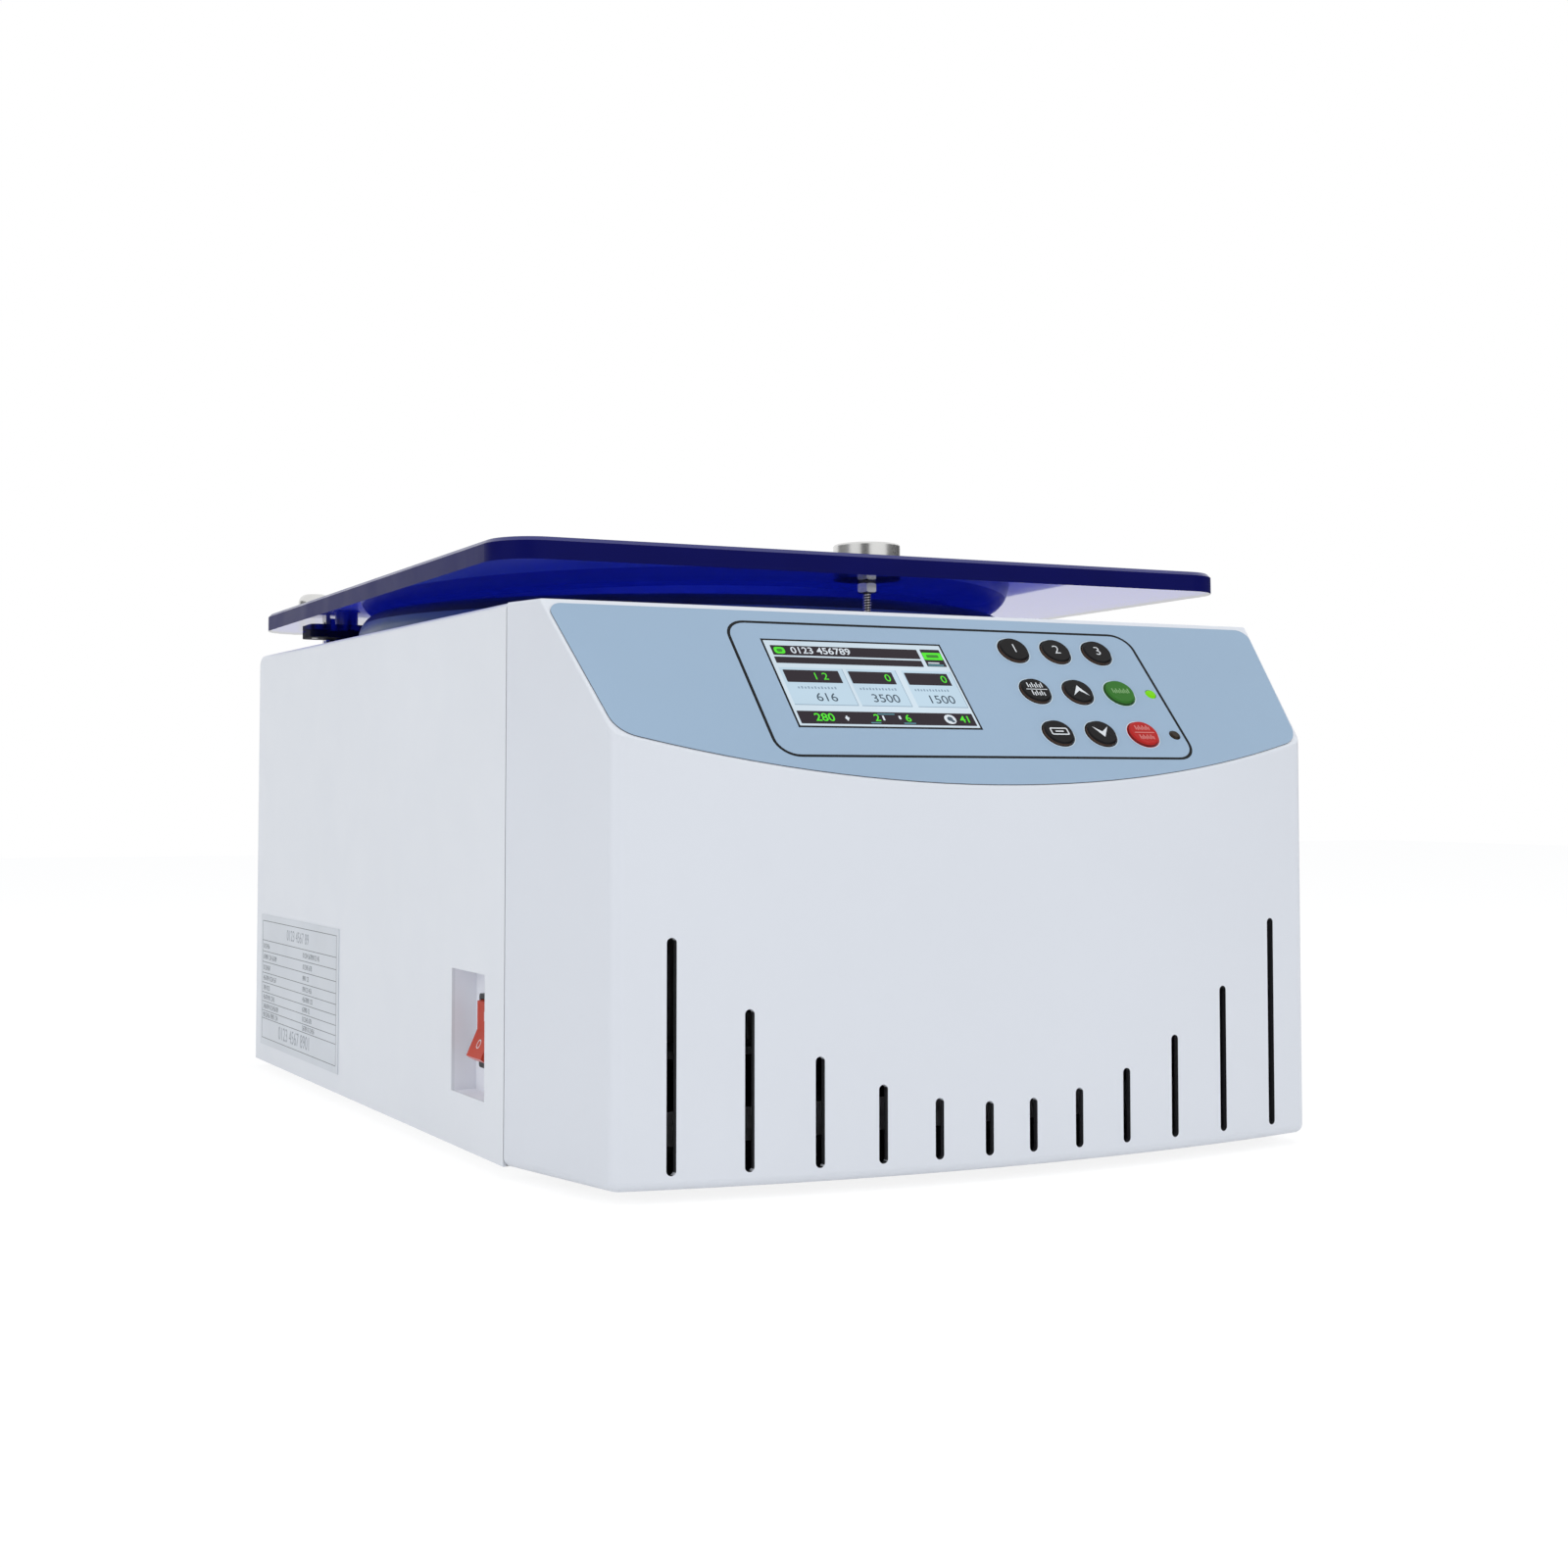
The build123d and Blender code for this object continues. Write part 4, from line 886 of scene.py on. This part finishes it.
def block(left, top, right, foot, corner=block_corner):
    # A lit block given by shares of the screen from its left and top edges
    width, height = (right - left) * screen_width, (foot - top) * screen_height
    sheet = flat_outline(width, height, corner, 3)
    x = ((left + right) / 2 - 0.5) * screen_width
    y = (0.5 - (top + foot) / 2) * screen_height
    sheet.data.transform(Matrix.Translation((x, y, 0.0)))
    return thickened(sheet, screen_step)


def figures(text, size, x_share, y_share, weight=0.0):
    # Plain numbers centred at a share of the screen
    number = plain_figures(text, size, screen_step / 2, weight)
    x, y = (x_share - 0.5) * screen_width, (0.5 - y_share) * screen_height
    number.data.transform(Matrix.Translation((x, y, screen_step / 2)))
    return number


def on_screen(name, pixels, layer, blocks=(), numbers=()):
    # Lays all that one colour of pixel shows on the screen, as one piece
    piece = joined([figures(*row) for row in numbers] + [block(*row) for row in blocks])
    seated_on_panel(piece, screen_x, screen_down, film_thickness + layer * screen_step)
    finished(piece, name, pixels, "housing")


def stroke_row(left, right):
    # A row of short upright strokes of mixed height
    step = (right - left) / stroke_count
    rows = []
    for index in range(stroke_count):
        start = left + step * index
        top = stroke_share - stroke_reach * (0.6 + 0.4 * (index % 2))
        rows.append((start, top, start + step * 0.55, stroke_share + stroke_reach, 0.0001))
    return rows


# Blocks are left, top, right and foot as shares of the screen, and their corner.
# Numbers are text, size, place across and down as shares, and weight.
on_screen("screen_page", pixel_page, 1, [(page_edge, 2 * page_edge, 1 - page_edge, 1 - 2 * page_edge)])
on_screen("screen_cards", pixel_card, 2, [(left, 0.330, right, 0.752) for left, right in cards])
on_screen("screen_bars", pixel_dark, 3, [
    (0.033, 0.072, 0.849, 0.186), (0.030, 0.205, 0.846, 0.279), (0.021, 0.822, 0.980, 0.963),
    *[(left, 0.356, right, 0.497) for left, right in columns],
    (0.868, 0.066, 0.980, 0.271),
])
on_screen(
    "screen_green", pixel_green, 4,
    [(0.870, 0.104, 0.978, 0.191, 0.0005), (0.046, 0.092, 0.104, 0.168, 0.0014)],
    [("1 2", 0.0060, 0.235, 0.427), ("0", 0.0062, 0.605, 0.427), ("0", 0.0062, 0.922, 0.427),
     ("280", 0.0064, 0.157, 0.894, bold), ("2", 0.0058, 0.440, 0.890, bold),
     ("6", 0.0058, 0.610, 0.890, bold), ("41", 0.0056, 0.930, 0.892, bold)],
)
on_screen("screen_numbers", pixel_grey, 4, numbers=[
    ("616", 0.0070, 0.218, 0.668, half_bold), ("3500", 0.0070, 0.540, 0.668, half_bold),
    ("1500", 0.0070, 0.850, 0.668, half_bold),
])
on_screen("screen_marks", pixel_faint, 4, [
    *stroke_row(0.085, 0.300), *stroke_row(0.420, 0.630), *stroke_row(0.725, 0.925),
    *[(left, 0.748, right, 0.756, 0.0001) for left, right in cards],
    *[(right - 0.003, 0.33, right, 0.75, 0.0001) for left, right in cards],
])
on_screen("screen_teal", pixel_teal, 4, [
    (0.450, 0.838, 0.545, 0.850), (0.395, 0.938, 0.450, 0.950, 0.0002),
    (0.575, 0.938, 0.640, 0.950, 0.0002), (0.875, 0.245, 0.965, 0.262, 0.0002),
])
on_screen(
    "screen_pale", pixel_pale, 4,
    [(0.266, 0.884, 0.288, 0.908, 0.0005), (0.272, 0.870, 0.281, 0.924, 0.0002),
     (0.880, 0.222, 0.945, 0.236, 0.0002), (0.470, 0.862, 0.480, 0.915, 0.0002),
     (0.560, 0.862, 0.572, 0.900, 0.0002), (0.812, 0.838, 0.876, 0.944, 0.0026)],
    [("0123 456789", 0.0056, 0.300, 0.128, bold)],
)
on_screen("screen_deep", pixel_deep, 5, [
    (0.060, 0.112, 0.090, 0.148, 0.0008), (0.890, 0.130, 0.958, 0.165, 0.0003),
])
on_screen("screen_emblem", pixel_grey, 5, [
    (0.828, 0.862, 0.860, 0.912, 0.0012), (0.846, 0.900, 0.866, 0.926, 0.0006),
])


# Keys
# Nine glossy round keys: three numbered, two with arrows, one green, one red and two
# with white strokes. Their skirts take painted light: a painted brown reflection on the
# black keys and painted shade on the green and red ones. A ring of the key's own colour
# is printed on the film round each hole.
key_rise = 0.0016
key_face_lean = 0.55
mark_proud = 0.00003
number_size, number_thinned = 0.0076, -0.00006
arrow_size = 0.0042
divider_width = 0.0004
ring_sides = 64
ring_inner = 0.00768
ring_outer = 0.00810
halo_outer = 0.00845
black_keys = ("one", "two", "three", "mode", "up", "set", "down")


def key_finish(name, colour, skirt_painted_light):
    # The skirt colour is painted light: a brown reflection on black keys, shade on the others
    face = finish(name, colour, gloss=(0.24, 0.05), drift=(0.05, 60.0), skin=(900.0, 2e-6),
                  shine=0.08)
    side = finish(name + "_skirt", skirt_painted_light, gloss=(0.3, 0.06), drift=(0.12, 90.0), skin=(900.0, 3e-6),
                  shine=0.15)
    return face, side


# The second colour of each key is its skirt's painted light
key_black = key_finish("key_black", (0.010, 0.0095, 0.010), (0.105, 0.062, 0.045))
key_green = key_finish("key_green", (0.036, 0.165, 0.024), (0.040, 0.110, 0.030))
key_red = key_finish("key_red", (0.460, 0.022, 0.020), (0.260, 0.024, 0.022))
halo_ink = finish("halo_ink", (0.62, 0.74, 0.82), gloss=(0.36, 0.05), drift=(0.03, 60.0),
                  skin=(1600.0, 2e-6))
mark_white = finish("mark_white", (0.70, 0.73, 0.76), gloss=(0.45, 0.05), drift=(0.04, 90.0),
                    skin=(1600.0, 2e-6))
mark_green = finish("mark_green", (0.22, 0.42, 0.17), gloss=(0.45, 0.05), drift=(0.04, 90.0),
                    skin=(1600.0, 2e-6))
mark_red = finish("mark_red", (0.62, 0.24, 0.22), gloss=(0.45, 0.05), drift=(0.04, 90.0),
                  skin=(1600.0, 2e-6))


def key_place(name):
    # Middle of a key as x and the way down the panel
    middle = centre_of("key_" + name) - panel_origin
    return middle.x, -middle.dot(panel_up)


def printed_ring(names, inner, outer):
    # A ring printed on the film round the hole of each key
    rings = []
    for name in names:
        bpy.ops.object.select_all(action="DESELECT")
        bpy.ops.mesh.primitive_circle_add(vertices=ring_sides, radius=outer, fill_type="NGON")
        ring = border_only(bpy.context.object, outer - inner, ink_proud)
        rings.append(seated_on_panel(ring, *key_place(name), film_thickness))
    return joined(rings)


for label, names, faces, slot_name in (
        ("ring_black", black_keys, key_black, "black_key"),
        ("ring_green", ("start",), key_green, "green_key"),
        ("ring_red", ("stop",), key_red, "red_key")):
    for name in names:
        key = dress("key_" + name, *faces)
        # Faces leaning off the panel take the skirt's painted light
        second_finish(key, lambda middle, normal: normal.dot(panel_out) < key_face_lean)
    ring = printed_ring(names, ring_inner, ring_outer)
    finished(ring, label, faces[0], "housing")
halo = printed_ring(black_keys + ("start", "stop"), ring_outer, halo_outer)
finished(halo, "ring_halo", halo_ink, "housing")


def key_mark(key, piece, material):
    seated_on_panel(piece, *key_place(key), film_thickness + key_rise)
    finished(piece, "mark_" + key, material, "key_" + key)


def arrow_mark(turn):
    # A filled arrow head with a notched foot
    bpy.ops.object.select_all(action="DESELECT")
    bpy.ops.mesh.primitive_circle_add(vertices=4, radius=arrow_size, fill_type="NGON")
    arrow = bpy.context.object
    corners = sorted(arrow.data.vertices, key=lambda corner: corner.co.y)
    for corner, rise in zip(corners, (-0.05, -0.80, -0.80, 0.75)):
        corner.co.y = rise * arrow_size
    arrow.data.transform(Matrix.Rotation(math.radians(turn), 4, "Z"))
    return thickened(arrow, 2 * mark_proud)


def small_bars(*sizes):
    # Flat bars, each given by its middle, width and height
    bars = []
    for x, y, width, height in sizes:
        bar = flat_outline(width, height, min(width, height) * 0.3, 3)
        bar.data.transform(Matrix.Translation((x, y, 0.0)))
        bars.append(thickened(bar, 2 * mark_proud))
    return joined(bars)


def stroke_line(count, width, y, height):
    # Short upright strokes side by side, every other one shorter and lower
    step = width / count
    strokes = []
    for index in range(count):
        x = -width / 2 + step * (index + 0.5)
        shift = 0.12 * height * (-1) ** index
        strokes.append((x, y + shift, step * 0.46, height * (1.0 - 0.24 * (index % 2))))
    return small_bars(*strokes)


for name, text in (("one", "1"), ("two", "2"), ("three", "3")):
    number = plain_figures(text, number_size, mark_proud, number_thinned)
    key_mark(name, number, mark_white)
key_mark("up", arrow_mark(0), mark_white)
key_mark("down", arrow_mark(180), mark_white)
key_mark("mode", joined([
    stroke_line(7, 0.0086, 0.0024, 0.0030), stroke_line(6, 0.0072, -0.0026, 0.0030),
    small_bars((0, 0, 0.0112, divider_width)),
]), mark_white)
key_mark("set", joined([
    border_only(flat_outline(0.0094, 0.0044, 0.0009), 0.0007, 2 * mark_proud),
    small_bars((0, 0, 0.0044, 0.0007)),
]), mark_white)
key_mark("start", stroke_line(9, 0.0096, 0.0, 0.0028), mark_green)
key_mark("stop", joined([
    stroke_line(8, 0.0080, 0.0028, 0.0026), stroke_line(8, 0.0080, -0.0030, 0.0026),
    small_bars((0, 0, 0.0106, divider_width)),
]), mark_red)


# Status lamps
# Two round lamps beside the green and red keys. The upper one is lit green, the
# lower one is off and looks like dark brown glass.
lamp_lit = lit("lamp_lit", (0.19, 0.66, 0.004), 0.9, 0.3)
lamp_off = finish("lamp_off", (0.020, 0.012, 0.006), gloss=(0.25, 0.04), drift=(0.1, 90.0),
                  skin=(900.0, 2e-6), shine=0.2)
lamps = dress("status_leds", lamp_lit, lamp_off)
lamp_middle = centre_of("status_leds")
second_finish(lamps, lambda middle, normal: (middle - lamp_middle).dot(panel_up) < 0.0)


# Power switch
# A red rocker in a black bezel on the floor of the recess, pressed at its upper
# half. Its lower half carries a ring and its upper half a bar, as rockers do. Its
# downward faces take a paler copy of the red, painted light.
mark_reach = 0.0021
mark_line = 0.00045
rocker_face_lean = -0.7
rocker_foot_lean = -0.6

rocker_red = finish("rocker_red", (0.500, 0.052, 0.026), gloss=(0.34, 0.05), drift=(0.06, 60.0),
                    skin=(900.0, 3e-6), shine=0.08)
# Paler red for the rocker's downward faces: painted light
rocker_foot_painted_light = finish("rocker_foot_painted_light", (0.66, 0.26, 0.25), gloss=(0.40, 0.05), drift=(0.06, 60.0),
                     skin=(900.0, 3e-6), shine=0.2)
bezel_black = finish("bezel_black", (0.022, 0.022, 0.021), gloss=(0.42, 0.06), drift=(0.10, 60.0),
                     skin=(1300.0, 8e-6), shine=0.35)
dress("switch_body", bezel_black)
rocker = dress("rocker", rocker_red, rocker_foot_painted_light)
second_finish(rocker, lambda middle, normal: normal.z < rocker_foot_lean)


def on_rocker(piece, name, half):
    # Lays a flat mark on the upper or the lower half of the rocker's face
    middle = centre_of("rocker").z
    faces = [face for face in rocker.data.polygons
             if face.normal.x < rocker_face_lean and (face.center.z - middle) * half > 0]
    area = sum(face.area for face in faces)
    place = sum((face.center * face.area for face in faces), Vector()) / area
    out = sum((face.normal * face.area for face in faces), Vector()).normalized()
    turn = out.to_track_quat("Z", "Y").to_matrix().to_4x4()
    piece.data.transform(Matrix.Translation(place) @ turn)
    finished(piece, name, mark_white, "power_rocker")


rocker_ring = flat_outline(2 * mark_reach, 2 * mark_reach, 0.95 * mark_reach)
on_rocker(border_only(rocker_ring, mark_line, 2 * mark_proud), "rocker_ring", -1)
on_rocker(small_bars((0, 0, mark_line, 2 * mark_reach)), "rocker_bar", 1)


# Chamber
# A dark grey ring stands round the chamber on the case top, with a soft black seal on it.
# The ring's colour carries painted blue light, for the light through the blue lid.
# The bowl is spun stainless steel, and a rubber boot closes it round the shaft.
# Dark grey with painted blue light from the lid
collar_grey_painted_blue = finish("collar_grey_painted_blue", (0.080, 0.122, 0.215), gloss=(0.34, 0.06), drift=(0.06, 20.0),
                      skin=(900.0, 4e-6), shine=0.3)
seal_black = finish("seal_black", (0.022, 0.024, 0.028), gloss=(0.45, 0.08), drift=(0.12, 30.0),
                    skin=(900.0, 1e-5), shine=0.3)
spun_steel = finish("spun_steel", (0.68, 0.68, 0.67), gloss=(0.34, 0.015), drift=(0.03, 12.0),
                    skin=(1600.0, 4e-6), metallic=1.0, stretch=(0.15, 0.15, 1.0))
dress("chamber_collar", collar_grey_painted_blue)
dress("chamber_gasket", seal_black)
dress("chamber_bowl", spun_steel)
dress("shaft_boot", black_rubber)


# Rotor
# A six-place angle rotor turned from one aluminium billet and clear anodised, held
# by a fluted nut, with a rubber cushion at the foot of each tube place.
anodised = finish("anodised", (0.60, 0.61, 0.63), gloss=(0.34, 0.03), drift=(0.03, 20.0),
                  skin=(2200.0, 4e-6), metallic=1.0, stretch=(0.1, 0.1, 1.0))
dress("rotor_body", anodised)
dress("rotor_nut", anodised)
dress("tube_cushions", black_rubber)


# Lid lock
# Under the front of the case top a black housing carries a sprung steel tongue that
# closes round the stud. The stud enters through a white bush.
dress("lock_bush", white_moulding)
dress("lock_housing", black_nylon)
dress("lock_bolt", ground_steel)


# Lid
# One sheet of clear blue cast acrylic, 10 mm thick, sawn to its outline with round
# corners. The faces are as cast, the edges are dull, and the top edge is bevelled. The
# bevel is coloured lighter than the edges, a painted highlight.
lid_slope = math.radians(0.906)
lid_out = Vector((0.0, math.sin(lid_slope), math.cos(lid_slope)))
flat_lean = 0.95
bevel_lean = 0.3
acrylic_bend = 1.49
absorb_density = 360.0
absorb_colour = (0.010, 0.200, 0.900, 1.0)


def blue_acrylic():
    material = finish("blue_acrylic", (0.93, 0.95, 1.0), gloss=(0.02, 0.012), drift=(0.01, 12.0),
                      skin=(40.0, 4e-7))
    tree = material.node_tree
    shader = tree.nodes["Principled BSDF"]
    shader.inputs["Transmission Weight"].default_value = 1.0
    shader.inputs["IOR"].default_value = acrylic_bend
    depth = add_node(tree, "VolumeAbsorption", Color=absorb_colour, Density=absorb_density)
    tree.links.new(depth.outputs[0], tree.nodes["Material Output"].inputs["Volume"])
    return material


sawn_edge = finish("sawn_edge", (0.003, 0.004, 0.085), gloss=(0.34, 0.05), drift=(0.06, 30.0),
                   skin=(500.0, 1e-5), shine=0.05)
# The bevel's lighter blue is a painted highlight
bevel_painted_highlight = finish("bevel_painted_highlight", (0.028, 0.032, 0.165), gloss=(0.25, 0.06), drift=(0.08, 30.0),
                    skin=(500.0, 4e-6), shine=0.3)
lid = dress("lid_plate", blue_acrylic(), sawn_edge, bevel_painted_highlight)
for face in lid.data.polygons:
    lean = face.normal.dot(lid_out)
    face.material_index = 0 if abs(lean) > flat_lean else (2 if lean > bevel_lean else 1)


# Lid knob, stud and nut
# A turned stainless knob on top, a threaded stud through the sheet, and a bright
# hexagon nut on a rubber washer under it. The stud is coloured near-black, painted
# shade, and its thread is a bright ridge wound on it.
thread_pitch = 0.00125
thread_crest = 0.00212
thread_root = 0.00170
thread_profile = ((thread_root, 0.02), (thread_crest, 0.38), (thread_crest, 0.62), (thread_root, 0.98))
thread_steps = 24
neck_height = 0.0128

turned_steel = finish("turned_steel", (0.70, 0.70, 0.69), gloss=(0.24, 0.06), drift=(0.05, 60.0),
                      skin=(5000.0, 3e-6), metallic=1.0, stretch=(0.03, 0.03, 1.0))
# Near-black painted shade for the stud's core and thread roots
stud_painted_shade = finish("stud_painted_shade", (0.045, 0.042, 0.042), gloss=(0.30, 0.08), drift=(0.10, 90.0),
                    skin=(2500.0, 2e-6), metallic=1.0)
thread_steel = finish("thread_steel", (0.62, 0.60, 0.60), gloss=(0.30, 0.08), drift=(0.10, 90.0),
                      skin=(2500.0, 2e-6), metallic=1.0)
nut_steel = finish("nut_steel", (0.30, 0.31, 0.35), gloss=(0.14, 0.06), drift=(0.08, 90.0),
                   skin=(2500.0, 2e-6), metallic=1.0)
dress("lid_knob", turned_steel)
dress("latch_stud", stud_painted_shade)
dress("latch_nut", nut_steel)
dress("latch_washer", black_rubber)


def stud_thread():
    # A closed ridge, wound round the stud from its neck to the nut
    middle = centre_of("latch_stud")
    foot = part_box("latch_stud")[0].z + neck_height
    turns = int((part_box("latch_nut")[0].z - foot) / thread_pitch)
    bpy.ops.object.select_all(action="DESELECT")
    bpy.ops.mesh.primitive_circle_add(vertices=4, radius=thread_crest)
    ridge = bpy.context.object
    for vertex, (radius, share) in zip(ridge.data.vertices, thread_profile):
        vertex.co = (radius, 0.0, share * thread_pitch)
    shape_by(ridge, "SCREW", axis="Z", screw_offset=thread_pitch, iterations=turns,
             steps=thread_steps, render_steps=thread_steps)
    bpy.ops.object.mode_set(mode="EDIT")
    bpy.ops.mesh.select_all(action="SELECT")
    bpy.ops.mesh.fill_holes(sides=4)
    bpy.ops.mesh.select_all(action="SELECT")
    bpy.ops.mesh.normals_make_consistent(inside=False)
    bpy.ops.object.mode_set(mode="OBJECT")
    lean = Matrix.Rotation(-lid_slope, 4, "X")
    ridge.data.transform(Matrix.Translation((middle.x, middle.y, foot)) @ lean)
    return finished(ridge, "stud_thread", thread_steel, "lid", 20.0)


stud_thread()


# Hinges
# Black steel leaves are clamped under the lid by screws with domed stainless cap
# nuts, and turn on pins in brackets on the case top. Two rubber posts under them carry
# the closed lid; their deep blue is painted light, for the light through the blue lid.
black_oxide = finish("black_oxide", (0.008, 0.009, 0.024), gloss=(0.55, 0.08), drift=(0.12, 60.0),
                     skin=(1200.0, 6e-6), shine=0.05)
# Deep blue painted light for the rubber posts
stop_painted_blue = finish("stop_painted_blue", (0.008, 0.014, 0.230), gloss=(0.22, 0.06), drift=(0.05, 60.0),
                   skin=(900.0, 4e-6), shine=0.3)
dress("hinge_leaves", black_oxide)
dress("hinge_brackets", spun_steel)
dress("hinge_pins", ground_steel)
dress("hinge_caps", turned_steel)
dress("lid_buffers", stop_painted_blue)
